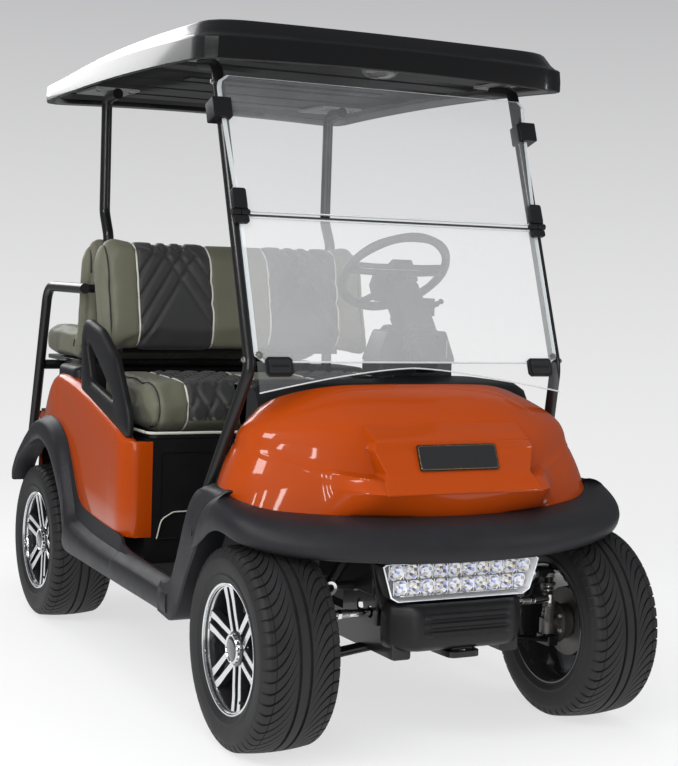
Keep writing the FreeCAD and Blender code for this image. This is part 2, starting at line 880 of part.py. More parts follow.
def cowl_solid(inset):
    """The dome of the nose, as slices from the bumper line up to the windshield."""
    rear = cowl_rear_back + (cut_overrun if inset else 0)
    reach = cowl_rear_back - cowl_front_back
    slices = []
    for height_share, width_share, reach_share in cowl_slice_shares:
        z = cowl_low_z + (cowl_top_z - cowl_low_z) * height_share - inset * height_share
        if inset and not height_share:
            z -= cut_overrun
        half = scaled_half(cowl_plan_shares, cowl_half_width * width_share - inset, cowl_rear_back,
                           reach * reach_share - inset)
        half = half[:-1] + [(half[-1][0], at(rear))]
        slices.append(spline_loop(half, z))
    return Part.makeLoft(slices, True, True)


def nose_solid(inset):
    """The proud middle of the nose, with a recess for the plate."""
    low = cowl_low_z - (cut_overrun if inset else 0)
    deep = at(scoop_root_back)
    outline = [(deep, low), (at(scoop_foot_back) + inset, low), (at(scoop_lip_back) + inset, scoop_low_z),
               (at(scoop_face_low_back) + inset, scoop_face_low_z),
               (at(scoop_face_low_back) + scoop_recess + inset, scoop_face_low_z),
               (at(scoop_mid_back) + scoop_recess + inset, scoop_mid_z),
               (at(scoop_mid_back) + inset, scoop_mid_z), (at(scoop_top_back) + inset, scoop_top_z - inset),
               (deep, scoop_root_z - inset)]
    half = scoop_half_width - inset
    return side_prism(outline, -half, half)


def front_cowl():
    outer = cowl_solid(0).fuse(nose_solid(0))
    inner = cowl_solid(body_wall).fuse(nose_solid(body_wall))
    shell = outer.cut(inner)
    notch = side_prism([(at(cowl_notch_low_back), cowl_low_z - cut_overrun), (at(cowl_notch_high_back),
                        cowl_top_z), (at(cowl_rear_back) + cut_overrun, cowl_top_z),
                        (at(cowl_rear_back) + cut_overrun, cowl_low_z - cut_overrun)],
                       cowl_notch_x, overall_length)
    middle = box(-cowl_notch_x, cowl_notch_x, at(cowl_edge_back), at(overall_length), 0, overall_length)
    for piece in [middle] + both(notch):
        shell = shell.cut(piece)
    return largest(shell)


def largest(shape):
    return max(shape.Solids, key=lambda solid: solid.Volume)


def front_plate():
    y = at(scoop_face_low_back) + scoop_recess
    lean = (scoop_mid_back - scoop_face_low_back) / (scoop_mid_z - scoop_face_low_z)
    low = (scoop_mid_z + scoop_face_low_z - plate_height) / 2
    foot = y + lean * (low - scoop_face_low_z) - running_gap
    outline = [(foot, low), (foot + lean * plate_height, low + plate_height),
               (foot + lean * plate_height - plate_thickness, low + plate_height), (foot - plate_thickness, low)]
    return side_prism(outline, -plate_half_width, plate_half_width)


def bumper_solid(inset):
    slices = []
    reach = bumper_rear_back - bumper_front_back
    rear = bumper_rear_back + (cut_overrun if inset else 0)
    for height_share, shrink_share in bumper_slice_shares:
        z = bumper_low_z + (bumper_top_z - bumper_low_z) * height_share - inset * height_share
        if inset and not height_share:
            z -= cut_overrun
        shrink = bumper_depth * shrink_share + inset
        half = scaled_half(bumper_plan_shares, bumper_half_width - shrink, bumper_rear_back, reach - shrink)
        half = half[:-1] + [(half[-1][0], at(rear))]
        slices.append(spline_loop(half, z))
    return Part.makeLoft(slices, True, True)


def front_bumper():
    """Bullnose bumper and both fenders in one moulding, open below, arched over the wheels."""
    shell = bumper_solid(0).cut(bumper_solid(bumper_wall))
    arch = []
    for side in range(front_arch_sides):
        angle = math.tau * side / front_arch_sides
        arch.append((at(0) + front_arch_reach * math.cos(angle), tyre_radius + front_arch_reach * math.sin(angle)))
    return largest(shell.cut(side_prism(arch, -overall_length, overall_length)))


# Front liner, lamp and guard
def front_inner_panel():
    """Closed box between the front wheels that backs the lamp, with an open underside."""
    half = liner_half_width
    front = at(lamp_face_back) + lamp_depth + running_gap
    low = tower_top_z + running_gap
    outer = plan_prism([(-half, front), (half, front), (half - liner_taper, at(liner_rear_back)),
                        (-half + liner_taper, at(liner_rear_back))], low, liner_top_z)
    inner = plan_prism([(-half + liner_wall, front + liner_wall), (half - liner_wall, front + liner_wall),
                        (half - liner_taper - liner_wall, at(liner_rear_back) - liner_wall),
                        (-half + liner_taper + liner_wall, at(liner_rear_back) - liner_wall)],
                       low + liner_wall, liner_top_z + cut_overrun)
    apron = box(-half, half, front, front + liner_wall, lamp_low_z, low + liner_wall)
    return joined([outer.cut(inner), apron])


def lamp_outline(inset):
    low = lamp_half_width_low - inset
    top = lamp_half_width_top - inset
    return [(-low, lamp_low_z + inset), (low, lamp_low_z + inset), (top, lamp_top_z - inset),
            (-top, lamp_top_z - inset)]


def headlamp_housing():
    """Trapezium lamp with an open face and two rows of reflector cells."""
    face = at(lamp_face_back)
    back = face + lamp_depth
    corner = lamp_frame_width
    shell = front_prism(lamp_outline(0), face, back, corner)
    hollow = front_prism(lamp_outline(lamp_frame_width), face - cut_overrun, back - lamp_frame_width, corner / 2)
    shell = shell.cut(hollow)
    ribs = []
    middle = (lamp_low_z + lamp_top_z) / 2
    half_rib = lamp_rib / 2
    floor = back - lamp_frame_width
    ribs.append(box(-lamp_half_width_low, lamp_half_width_low, floor - lamp_rib_depth, floor, middle - half_rib,
                    middle + half_rib))
    for index in range(1, lamp_cells):
        x = -lamp_half_width_low + 2 * lamp_half_width_low * index / lamp_cells
        ribs.append(box(x - half_rib, x + half_rib, floor - lamp_rib_depth, floor, lamp_low_z + corner,
                        lamp_top_z - corner))
    return joined([shell] + ribs)


def headlamp_lens():
    face = at(lamp_face_back)
    return front_prism(lamp_outline(lamp_frame_width + running_gap), face, face + lamp_lens_thickness,
                       lamp_frame_width / 2)


def guard_outline(half, front_back, rear_back):
    corner = guard_corner
    return [(-half, at(rear_back)), (-half, at(front_back) + corner), (-half + corner, at(front_back)),
            (half - corner, at(front_back)), (half, at(front_back) + corner), (half, at(rear_back))]


def lower_guard():
    """Ribbed guard under the lamp."""
    outer = plan_prism(guard_outline(guard_half_width, guard_face_back, guard_rear_back), guard_low_z, guard_top_z,
                       guard_corner / 2)
    inner = plan_prism(guard_outline(guard_half_width - guard_wall, guard_face_back + guard_wall,
                                     guard_rear_back + cut_overrun), guard_low_z - cut_overrun,
                       guard_top_z - guard_wall, guard_corner / 2)
    ribs = []
    pitch = (guard_top_z - guard_low_z) / (guard_rib_count + 1)
    for index in range(guard_rib_count):
        z = guard_low_z + pitch * (index + 1)
        rib = plan_prism(guard_outline(guard_half_width + guard_rib_height, guard_face_back - guard_rib_height,
                                       guard_rear_back), z - guard_rib_thickness / 2, z + guard_rib_thickness / 2,
                         guard_corner / 2)
        ribs.append(rib.cut(inner))
    shelf = box(-guard_half_width + guard_wall, guard_half_width - guard_wall, at(guard_face_back) + guard_wall,
                at(guard_rear_back), guard_top_z - guard_wall, guard_top_z)
    return joined([outer.cut(inner), shelf] + ribs)


def tow_bracket():
    """Tow eye plate under the guard, on the rail ends."""
    z = rail_low_z
    front = at(guard_face_back) - guard_rib_height
    plate = box(-tow_half_width, tow_half_width, front, at(rail_front_back) + cross_tube_size, z,
                z + tow_thickness)
    bar = box(-rail_x - rail_width / 2, rail_x + rail_width / 2, at(rail_front_back) - tow_bar_depth,
              at(rail_front_back) - running_gap, z, guard_top_z - guard_wall - running_gap)
    hole = rod(V(0, front + tow_half_width, z - cut_overrun), V(0, front + tow_half_width, z + cut_overrun),
               tow_hole_radius)
    return joined([plate, bar]).cut(hole)


# Dash and steering column
def dashboard():
    """Black dash: rolled top, two open glove pockets and two cup holders."""
    half = dash_half_width
    lean = dash_face_lean
    outline = [(at(dash_front_back), dash_front_z), (at(dash_crest_back), dash_top_z), (at(dash_rear_back), dash_top_z
               - dash_roll), (at(dash_rear_back) + dash_roll / 2, dash_top_z - 2 * dash_roll),
               (at(dash_rear_back) - lean, dash_low_z), (at(dash_front_back), dash_low_z)]
    block = side_prism(outline, -half, half, dash_corner)
    chop = front_prism([(half - dash_end_width, dash_top_z + cut_overrun), (half + cut_overrun, dash_top_z
                       + cut_overrun), (half + cut_overrun, dash_top_z - dash_end_drop)],
                       at(0), at(overall_length))
    for side in both(chop):
        block = block.cut(side)
    for x in (-pocket_center_x, pocket_center_x):
        low = dash_low_z + dash_wall
        block = block.cut(box(x - pocket_half_width, x + pocket_half_width, at(dash_rear_back) - pocket_depth,
                              at(dash_rear_back) + cut_overrun, low, low + pocket_height))
    for x in (-cup_x, cup_x):
        block = block.cut(rod(V(x, at(cup_back), dash_top_z - cup_depth), V(x, at(cup_back), dash_top_z
                                                                           + cut_overrun), cup_radius))
    cavity = box(-half + dash_wall, half - dash_wall, at(dash_front_back) + dash_wall, at(dash_rear_back)
                 - pocket_depth - dash_wall, dash_low_z - cut_overrun, dash_front_z - dash_wall)
    return largest(block.cut(cavity).cut(steering_column()))


def column_axis():
    tilt = math.radians(column_tilt_deg)
    return V(0, math.cos(tilt), math.sin(tilt))


def hub_point(along=0.0):
    return V(pod_center_x, at(steering_hub_back), steering_hub_z).add(column_axis() * along)


def steering_column():
    """Column tube, shroud and stalk, with the instrument pod round its foot."""
    top = -steering_boss_height - running_gap
    foot = top - column_length
    shroud_low = top - column_shroud_length
    tube = rod(hub_point(foot), hub_point(top), column_radius)
    shroud = Part.makeCone(column_shroud_radius * column_shroud_share, column_shroud_radius, column_shroud_length,
                           hub_point(shroud_low), column_axis())
    root = hub_point(shroud_low + column_shroud_length / 2)
    stalk = rod(root, root.add(V(stalk_length, 0, stalk_length / 4)), stalk_radius)
    half = pod_half_width
    outline = [(at(pod_front_back), pod_low_z), (at(pod_rear_back), pod_low_z), (at(pod_rear_back) - dash_face_lean,
               pod_top_z), (at(pod_front_back), pod_top_z - pod_frame)]
    pod = side_prism(outline, pod_center_x - half, pod_center_x + half, pod_frame)
    base = box(pod_center_x - half + pod_frame, pod_center_x + half - pod_frame, at(pod_front_back),
               at(pod_rear_back) - pod_frame, dash_top_z - 2 * dash_roll, pod_low_z + pod_frame)
    return joined([tube, shroud, stalk, pod, base])


def steering_wheel():
    axis = column_axis()
    center = hub_point(steering_rim_rise)
    section = []
    for corner in range(steering_grip_sides):
        angle = math.tau * corner / steering_grip_sides
        section.append(center.add(V(steering_rim_radius + steering_grip_radius * math.cos(angle), 0, 0)).add(
            axis * (steering_grip_radius * math.sin(angle))))
    rim = Part.Face(loop(section)).revolve(center, axis, 360)
    boss = Part.makeCone(steering_boss_radius * column_shroud_share, steering_boss_radius, steering_boss_height,
                         hub_point(-steering_boss_height), axis)
    pieces = [rim, boss]
    across = V(1, 0, 0)
    down = axis.cross(across)
    for degrees in steering_spoke_degrees:
        angle = math.radians(degrees)
        out = across * math.cos(angle) + down * math.sin(angle)
        side = axis.cross(out)
        low = hub_point(-steering_spoke_thickness)
        rise = axis * (steering_rim_rise + steering_spoke_thickness / 2)
        half = side * (steering_spoke_width / 2)
        slim = side * (steering_spoke_width * column_shroud_share / 2)
        start = low + out * (steering_boss_radius / 2)
        end = low + out * steering_rim_radius + rise
        corners = [start - half, end - slim, end + slim, start + half]
        spoke = Part.makeRuledSurface(Part.LineSegment(corners[0], corners[1]).toShape(),
                                      Part.LineSegment(corners[3], corners[2]).toShape())
        pieces.append(spoke.extrude(axis * steering_spoke_thickness))
    return joined(pieces)


def pedals():
    """Brake and accelerator, each on an arm from a bracket on the toe board."""
    pieces = []
    low = toe_high_z - pedal_bracket_drop - pedal_bracket_height
    high = toe_high_z - pedal_bracket_drop
    near = running_gap
    far = running_gap + pedal_bracket_thickness
    ahead = side_prism([(toe_face(high) + near - cut_overrun, high), (toe_face(high) + near, high),
                        (toe_face(low) + near, low), (toe_face(low) + near - cut_overrun, low)],
                       -overall_length, overall_length)
    for x, width in ((pod_center_x - pedal_pitch, pedal_width), (pod_center_x + pedal_pitch / 2, pedal_width
                                                                 * pedal_narrow_share)):
        foot = V(x, at(pedal_back), pedal_z)
        top = V(x, toe_face(high) + far, (low + high) / 2)
        knee = V(x, at(pedal_back) - pedal_height / 2, (foot.z + top.z) / 2)
        pad = box(x - width / 2, x + width / 2, foot.y - pedal_thickness / 2, foot.y + pedal_thickness / 2,
                  foot.z - pedal_height / 2, foot.z + pedal_height / 2)
        pad.rotate(foot, V(1, 0, 0), pedal_lean_deg)
        arm = bent_tube([foot, knee, top], pedal_arm_radius, pedal_height / 2)
        bracket = side_prism([(toe_face(high) + near, high), (toe_face(high) + far, high),
                              (toe_face(low) + far, low), (toe_face(low) + near, low)],
                             x - pedal_bracket_height / 2, x + pedal_bracket_height / 2)
        pieces.append(joined([pad, arm, bracket]).cut(ahead))
    return group(pieces)


# Windshield: points on the pane's front face, by distance up the slope from the fold line
def pane_point(up, out=0.0):
    rake = math.radians(windshield_rake_deg)
    return (at(windshield_fold_back) + up * math.sin(rake) + out * math.cos(rake),
            windshield_fold_z + up * math.cos(rake) - out * math.sin(rake))


def pane_slab(outline, out, depth, corner=0.0):
    """A slab level with the pane, from (x, distance up the slope) points and a depth to the rear."""
    rake = math.radians(windshield_rake_deg)
    points = []
    for x, up in outline:
        y, z = pane_point(up, out)
        points.append(V(x, y, z))
    return Part.Face(loop(points, corner)).extrude(V(0, math.cos(rake), -math.sin(rake)) * depth)


def pane(low, high):
    half_low = windshield_half_at(low)
    half_high = windshield_half_at(high)
    return pane_slab([(-half_low, low), (half_low, low), (half_high, high), (-half_high, high)], 0,
                     windshield_thickness, windshield_corner)


def windshield_half_at(up):
    return windshield_half_width + windshield_flare * up / windshield_high_length


def windshield_lower():
    """Lower pane, with an ear each side that reaches down the cowl."""
    low = -windshield_low_length - windshield_skirt
    sheet = pane(low, -windshield_gap / 2)
    return largest(sheet.cut(cowl_solid(-running_gap)))


def windshield_upper():
    return pane(windshield_gap / 2, windshield_high_length)


def hinge_axis_point():
    return pane_point(0, -hinge_stand)


def latches():
    """Clamp block on the lower pane at each side, just under the fold line."""
    x = hinge_x()
    half = latch_width / 2
    top = -windshield_gap - running_gap
    block = pane_block([(x - half, top - latch_height), (x + half, top - latch_height), (x + half, top),
                        (x - half, top)], hinge_stand, hinge_radius)
    y, z = hinge_axis_point()
    barrel = rod(V(x - hinge_length / 2, y, z), V(x, y, z), hinge_radius)
    middle = x - hinge_length / 4
    y1, z1 = pane_point(top - hinge_radius, -hinge_stand + hinge_radius)
    web = rod(V(middle, y, z), V(middle, y1, z1), hinge_radius * hinge_web_share)
    return group(both(joined([block, barrel, web])))


def hinge_x():
    return windshield_half_at(0) - latch_width / 2 - windshield_corner


def pane_block(outline, depth, corner=0.0):
    """A block that stands on the front face of the pane."""
    return pane_slab(outline, -depth - running_gap, depth, corner)


def windshield_hinges():
    """Hinge leaf on the upper pane at each side, carried on the fold line."""
    x = hinge_x()
    y, z = hinge_axis_point()
    barrel = rod(V(x + running_gap, y, z), V(x + hinge_length / 2, y, z), hinge_radius)
    left = x + hinge_gap
    right = x + latch_width / 2
    plate = pane_block([(left, windshield_gap), (right, windshield_gap), (right, hinge_flag_height),
                        (left, hinge_flag_height)], hinge_flag_thickness)
    y1, z1 = pane_point(windshield_gap + hinge_radius, -hinge_flag_thickness)
    middle = x + hinge_length / 4 + hinge_gap / 2
    web = rod(V(middle, y, z), V(middle, y1, z1), hinge_radius * hinge_web_share)
    return group(both(joined([barrel, plate, web])))


def windshield_clips():
    """Spring clips from the struts to the top corners, and two retainers at the foot of the pane."""
    high = windshield_high_length - latch_height
    side = windshield_half_at(high + clip_length) + running_gap
    outer = strut_half_span + strut_radius + clip_width
    depth = windshield_thickness + strut_gap + strut_radius
    block = pane_slab([(side, high), (outer, high), (outer, high + clip_length), (side, high + clip_length)],
                      -clip_width, depth + clip_width)
    arm = pane_slab([(strut_half_span, high), (outer, high), (outer, high + clip_length),
                     (strut_half_span, high + clip_length)], depth, strut_radius + clip_width)
    y0, z0 = pane_point(high - cut_overrun, depth)
    y1, z1 = pane_point(high + clip_length + cut_overrun, depth)
    clip = joined([block, arm]).cut(rod(V(strut_half_span, y0, z0), V(strut_half_span, y1, z1),
                                        strut_radius + running_gap))
    low_y, low_z = pane_point(-windshield_low_length, windshield_thickness + running_gap)
    lean = math.tan(math.radians(windshield_rake_deg))
    drop = retainer_height + windshield_skirt
    outline = [(low_y - drop * lean, low_z - drop), (low_y - drop * lean + retainer_depth, low_z - drop),
               (low_y + retainer_depth, low_z), (low_y, low_z)]
    block = side_prism(outline, retainer_x - retainer_width / 2, retainer_x + retainer_width / 2)
    block = largest(block.cut(cowl_solid(-retainer_gap)))
    return group(both(clip) + both(block))


# Struts and canopy
def strut_y(z):
    """The struts lean with the windshield, just behind it."""
    rake = math.radians(windshield_rake_deg)
    lean = (windshield_thickness + strut_gap + strut_radius) / math.cos(rake)
    return at(windshield_fold_back) + lean + (z - windshield_fold_z) * math.tan(rake)


def front_strut_points():
    top = roof_liner_z - strut_radius - running_gap
    return [V(strut_foot_half_span, at(strut_foot_back), rocker_front_top_z + running_gap),
            V(strut_foot_half_span, at(strut_knee_back), strut_knee_z),
            V(strut_half_span, strut_y(strut_bend_z), strut_bend_z), V(strut_half_span, strut_y(top), top),
            V(strut_half_span, strut_y(top) + strut_top_run, top)]


def front_struts():
    return group(both(bent_tube(front_strut_points(), strut_radius, strut_bend_radius)))


def rear_struts():
    x = rear_strut_half_span
    z = roof_liner_z - rear_strut_radius - running_gap
    points = [V(x, at(rear_strut_low_back), seat_deck_z + running_gap),
              V(x, at(rear_strut_low_back), rear_strut_low_z), V(x, at(rear_strut_back), rear_strut_bend_z),
              V(x, at(rear_strut_back), z), V(x, at(rear_strut_back - strut_top_run), z)]
    return group(both(bent_tube(points, rear_strut_radius, rear_strut_bend_radius)))


def roof_solid(inset):
    """Canopy skin as level slices: upright edge, sloped shoulder, crowned top."""
    slices = []
    low = roof_low_z - (cut_overrun if inset else 0)
    side = roof_low_z + roof_side_height
    crown = side + roof_slope_height
    for z, shrink, corner in ((low, 0, roof_corner), (side - inset, roof_draft, roof_corner),
                              (crown - inset, roof_slope_width, roof_corner * 2),
                              (crown + roof_crown_height - inset, roof_crown_inset, roof_corner * 2)):
        edge = shrink + inset
        outline = [(-roof_half_width + edge, at(roof_front_back) + edge),
                   (roof_half_width - edge, at(roof_front_back) + edge),
                   (roof_half_width - edge, at(roof_front_back + roof_length) - edge),
                   (-roof_half_width + edge, at(roof_front_back + roof_length) - edge)]
        slices.append(loop([V(x, y, z) for x, y in outline], corner))
    return Part.makeLoft(slices, True, True)


def roof():
    shell = roof_solid(0).cut(roof_solid(roof_wall))
    return largest(shell)


def roof_frame():
    """Headliner tray with strut saddles, under the canopy skin."""
    edge = roof_draft + roof_wall
    outline = [(-roof_half_width + edge, at(roof_front_back) + edge),
               (roof_half_width - edge, at(roof_front_back) + edge),
               (roof_half_width - edge, at(roof_front_back + roof_length) - edge),
               (-roof_half_width + edge, at(roof_front_back + roof_length) - edge)]
    tray = plan_prism(outline, roof_liner_z, roof_liner_z + roof_liner_thickness, roof_corner)
    return tray


# Seats
def cushion(x0, x1, y0, y1, z0, z1, corner):
    """A plain padded block with rounded upright corners."""
    return plan_prism([(x0, y0), (x1, y0), (x1, y1), (x0, y1)], z0, z1, corner)


def front_seat_board():
    """Hinged board under the front cushion, with its two hinge barrels."""
    z = seat_deck_z + running_gap
    board = box(-seat_half_width + seat_margin, seat_half_width - seat_margin, at(seat_front_back) + seat_margin,
                at(seat_rear_back) - seat_margin, z, z + seat_board_thickness)
    return board


def front_cushion():
    low = seat_deck_z + seat_board_thickness + 2 * running_gap
    outline = [(at(seat_front_back), low), (at(seat_rear_back), low), (at(seat_rear_back), low
               + seat_cushion_height), (at(seat_front_back) + seat_nose_slope, low + seat_cushion_height
               - seat_nose_drop), (at(seat_front_back), low + seat_cushion_height - 2 * seat_nose_drop)]
    return side_prism(outline, -seat_half_width, seat_half_width, seat_corner)


def leaning_block(half, low_back, low_z, top_z, lean, thickness, corner):
    """Seat back: a slab whose front face runs from its foot to a top that leans away."""
    outline = [(at(low_back), low_z), (at(low_back + lean), top_z), (at(low_back + lean) + thickness, top_z),
               (at(low_back) + thickness, low_z)]
    return side_prism(outline, -half, half, corner)


def front_seat_back():
    return leaning_block(seat_back_half_width, seat_back_low_back, seat_back_low_z, seat_back_top_z,
                         seat_back_lean, seat_back_thickness, seat_corner)


def seat_back_shell():
    """Black shell between the two backs, held between the rear struts."""
    half = rear_strut_half_span - rear_strut_radius - running_gap
    low = seat_back_low_z
    high = seat_back_top_z - seat_corner
    share = (high - low) / (seat_back_top_z - low)
    front = at(seat_back_low_back) + seat_back_thickness + running_gap
    rear = at(rear_back_low_back) - rear_back_thickness - running_gap
    outline = [(front, low), (front + seat_back_lean * share, high), (rear - rear_back_lean * share, high),
               (rear, low)]
    wall = panel_thickness
    hollow = [(front + wall, low - cut_overrun), (front + seat_back_lean * share + wall, high - wall),
              (rear - rear_back_lean * share - wall, high - wall), (rear - wall, low - cut_overrun)]
    return side_prism(outline, -half, half).cut(side_prism(hollow, -half + wall, half - wall))


def rear_seat_back():
    low = at(rear_back_low_back)
    outline = [(low, rear_back_low_z), (low - rear_back_lean, rear_back_top_z),
               (low - rear_back_lean - rear_back_thickness, rear_back_top_z),
               (low - rear_back_thickness, rear_back_low_z)]
    return side_prism(outline, -rear_back_half_width, rear_back_half_width, seat_corner)


def rear_cushion():
    low = rear_seat_z + rear_board_thickness + running_gap
    return cushion(-rear_seat_half_width, rear_seat_half_width, at(rear_seat_front_back), at(rear_seat_rear_back),
                   low, low + rear_seat_cushion_height, seat_corner)


def rear_seat_board():
    z = rear_seat_z
    return box(-rear_seat_half_width + seat_margin, rear_seat_half_width - seat_margin,
               at(rear_seat_front_back) + seat_margin, at(rear_seat_rear_back) - seat_margin, z,
               z + rear_board_thickness)


# Seat base, body and trims
def seat_base():
    """Black pod under the front bench: front panel, side walls, top deck and wings out to the body."""
    half = seat_base_half_width
    front = at(body_front_back)
    rear = at(seat_base_rear_back)
    end = at(seat_deck_rear_back)
    low = floor_z + floor_thickness + running_gap
    deck = seat_deck_z - panel_thickness
    outer = side_prism([(front, low), (rear, low), (rear, deck), (end, deck), (end, seat_deck_z),
                        (front, seat_deck_z)], -half, half)
    inner = box(-half + panel_thickness, half - panel_thickness, front + panel_thickness, rear + cut_overrun,
                low - cut_overrun, deck)
    groove = box(-half * panel_recess_share, half * panel_recess_share, front - cut_overrun, front
                 + panel_thickness / 2, low + panel_recess_low, seat_deck_z - panel_recess_low)
    reach = box(-overall_length, overall_length, front, rear, 0, overall_length)
    wings = inside_body(body_front_top_z - panel_thickness, body_front_top_z).common(reach)
    return joined([outer.cut(inner).cut(groove), wings.cut(box(-half, half, front, rear, 0, overall_length))])


def body_outline(inset):
    half = body_half_width - inset
    tail = body_tail_half_width - inset
    return [(-half, at(body_front_back) + inset), (half, at(body_front_back) + inset),
            (half, at(body_taper_back)), (tail, at(body_rear_back) - inset), (-tail, at(body_rear_back) - inset),
            (-half, at(body_taper_back))]


def rear_body():
    """Painted rear body: both sides, wrapped front corners and the rear panel."""
    low = body_low_z - cut_overrun
    high = body_peak_z + cut_overrun
    outer = plan_prism(body_outline(0), low, high, body_corner)
    inner = plan_prism(body_outline(body_wall), low - cut_overrun, high + cut_overrun, body_corner - body_wall)
    before = at(body_front_back) - cut_overrun
    behind = at(body_rear_back) + cut_overrun
    side = [(before, body_low_z), (at(body_low_knee_back), body_low_z + body_low_rise / 4),
            (at(wheelbase - arch_trim_outer), body_low_z + body_low_rise), (behind, body_low_z + body_low_rise),
            (behind, body_rear_top_z), (at(body_rear_back) - body_corner, body_rear_top_z),
            (at(body_slope_back), body_peak_z), (at(body_peak_back), body_peak_z),
            (at(body_front_back) + body_corner, body_front_top_z), (before, body_front_top_z)]
    shell = outer.cut(inner).common(side_prism(side, -overall_length, overall_length))
    arch = rod(V(-overall_length, rear_axle_y, tyre_radius), V(overall_length, rear_axle_y, tyre_radius),
               arch_liner_radius)
    middle = box(-seat_base_half_width - running_gap, seat_base_half_width + running_gap,
                 at(body_front_back) - cut_overrun, at(body_front_back) + body_corner, 0, overall_length)
    return largest(shell.cut(arch).cut(middle))


def inside_body(z0, z1):
    """A level plate that fills the inside of the painted body."""
    return plan_prism(body_outline(body_wall + running_gap), z0, z1, body_corner - body_wall)


def body_deck():
    """Black deck inside the body's top edge, behind the front bench."""
    behind = box(-overall_length, overall_length, at(seat_deck_rear_back) + running_gap, overall_length, 0,
                 overall_length)
    return inside_body(body_rear_top_z - deck_thickness, body_rear_top_z).common(behind)


def wheel_wells():
    """Inner rear fender bands."""
    outer = arch_liner_radius - running_gap
    low = rail_high_z
    band = ring(V(wheel_well_inner_x, rear_axle_y, tyre_radius), V(body_half_width - body_wall - running_gap,
                rear_axle_y, tyre_radius), outer, outer - arch_trim_wall)
    keep = box(0, overall_length, rear_axle_y - 2 * outer, rear_axle_y + 2 * outer, low, low + 2 * outer)
    band = band.common(keep)
    return group(both(band))


def arch_trim_face():
    """Outer edge of the rear arch trim: an ellipse lying along the vehicle."""
    outer = Part.Ellipse(V(0, 0, 0), arch_trim_long, arch_trim_high)
    wire = Part.Wire(outer.toShape())
    wire.rotate(V(0, 0, 0), V(1, 1, 1), 120)
    return wire


def rocker_panels():
    """Lower side trim: kick-up, rocker and rear wheel arch in one moulding a side."""
    x0 = floor_half_width + running_gap
    outer_x = rocker_half_width
    kick = [(at(kick_low_back), rocker_low_z), (at(kick_front_low_back), kick_front_low_z),
            (at(kick_front_mid_back), kick_front_mid_z), (at(kick_top_back), kick_top_z),
            (at(kick_top_back + kick_width), kick_top_z - kick_wall), (at(kick_root_back), rocker_front_top_z)]
    kick_plate = side_prism(kick, kick_outer_x - kick_wall, kick_outer_x)
    front_y = at(rocker_front_back)
    arch_front_y = rear_axle_y - arch_trim_inner
    rocker = [(front_y, rocker_low_z), (arch_front_y, rocker_rear_low_z), (arch_front_y, rocker_top_z),
              (front_y, rocker_front_top_z)]
    solid = side_prism(rocker, x0, outer_x, rocker_corner)
    hollow = [(front_y + kick_wall, rocker_low_z - cut_overrun), (arch_front_y - kick_wall, rocker_low_z
              - cut_overrun), (arch_front_y - kick_wall, rocker_top_z - kick_wall),
              (front_y + kick_wall, rocker_front_top_z - kick_wall)]
    solid = solid.cut(side_prism(hollow, x0 - cut_overrun, outer_x - kick_wall))
    arch = arch_trim_face()
    arch.translate(V(body_half_width + running_gap, rear_axle_y - arch_trim_shift, arch_trim_center_z))
    flare = Part.Face(arch).extrude(V(outer_x - body_half_width - running_gap - arch_trim_wall, 0, 0))
    cutter = rod(V(0, rear_axle_y, tyre_radius), V(overall_length, rear_axle_y, tyre_radius), arch_trim_inner)
    keep = side_prism([(rear_axle_y - 2 * arch_trim_long, rocker_rear_low_z), (rear_axle_y, rocker_rear_low_z),
                       (rear_axle_y, arch_trim_rear_low_z), (rear_axle_y + 2 * arch_trim_long,
                                                             arch_trim_rear_low_z),
                       (rear_axle_y + 2 * arch_trim_long, overall_length), (rear_axle_y - 2 * arch_trim_long,
                                                                            overall_length)], 0, overall_length)
    flare = flare.cut(cutter).common(keep)
    solids = [kick_plate, solid, flare]
    side = joined(solids)
    return group(both(side))


def battery_pack():
    half = battery_half_width
    return box(-half, half, at(battery_front_back), at(battery_rear_back), battery_low_z, battery_high_z)


def battery_tray():
    """Shelf on the rails under the battery block."""
    half = battery_half_width
    top = battery_low_z - running_gap
    low = floor_z + floor_thickness + running_gap
    return box(-half, half, at(battery_front_back), at(battery_rear_back), low, top)


def hip_restraints():
    """Black A-shaped restraint with a narrow hand hole at each end of the bench."""
    z = body_front_top_z + running_gap
    frame = [(at(hip_front_back), z), (at(hip_front_back), hip_shoulder_z), (at(hip_apex_front_back), hip_apex_z),
             (at(hip_apex_rear_back), hip_apex_z), (at(hip_rear_back), z)]
    hole = [(at(hip_hole_front_back), hip_hole_front_z), (at(hip_hole_top_back), hip_hole_top_z),
            (at(hip_hole_rear_back), hip_hole_rear_z)]
    outer_x = hip_inner_x + hip_width
    plate = side_prism(frame, hip_inner_x, outer_x, hip_corner)
    opening = side_prism(hole, hip_inner_x - cut_overrun, outer_x + cut_overrun, hip_hole_corner)
    return group(both(plate.cut(opening)))


def rear_seat_frame():
    """Side tubes of the rear bench, from the seat backs round and down to the footplate."""
    x = side_tube_x
    points = [V(x, at(side_tube_front_back), side_tube_z), V(x, at(side_tube_bend_back), side_tube_z),
              V(x, at(side_tube_knee_back), side_tube_knee_z), V(x, at(side_tube_low_back),
                                                                 footplate_z + running_gap)]
    tube = bent_tube(points, frame_tube_radius, side_tube_bend_radius)
    stub = rod(V(rear_strut_half_span + rear_strut_radius + running_gap, at(rear_strut_low_back), side_tube_z),
               V(x, at(rear_strut_low_back), side_tube_z), frame_stub_radius)
    return group(both(joined([tube, stub])))


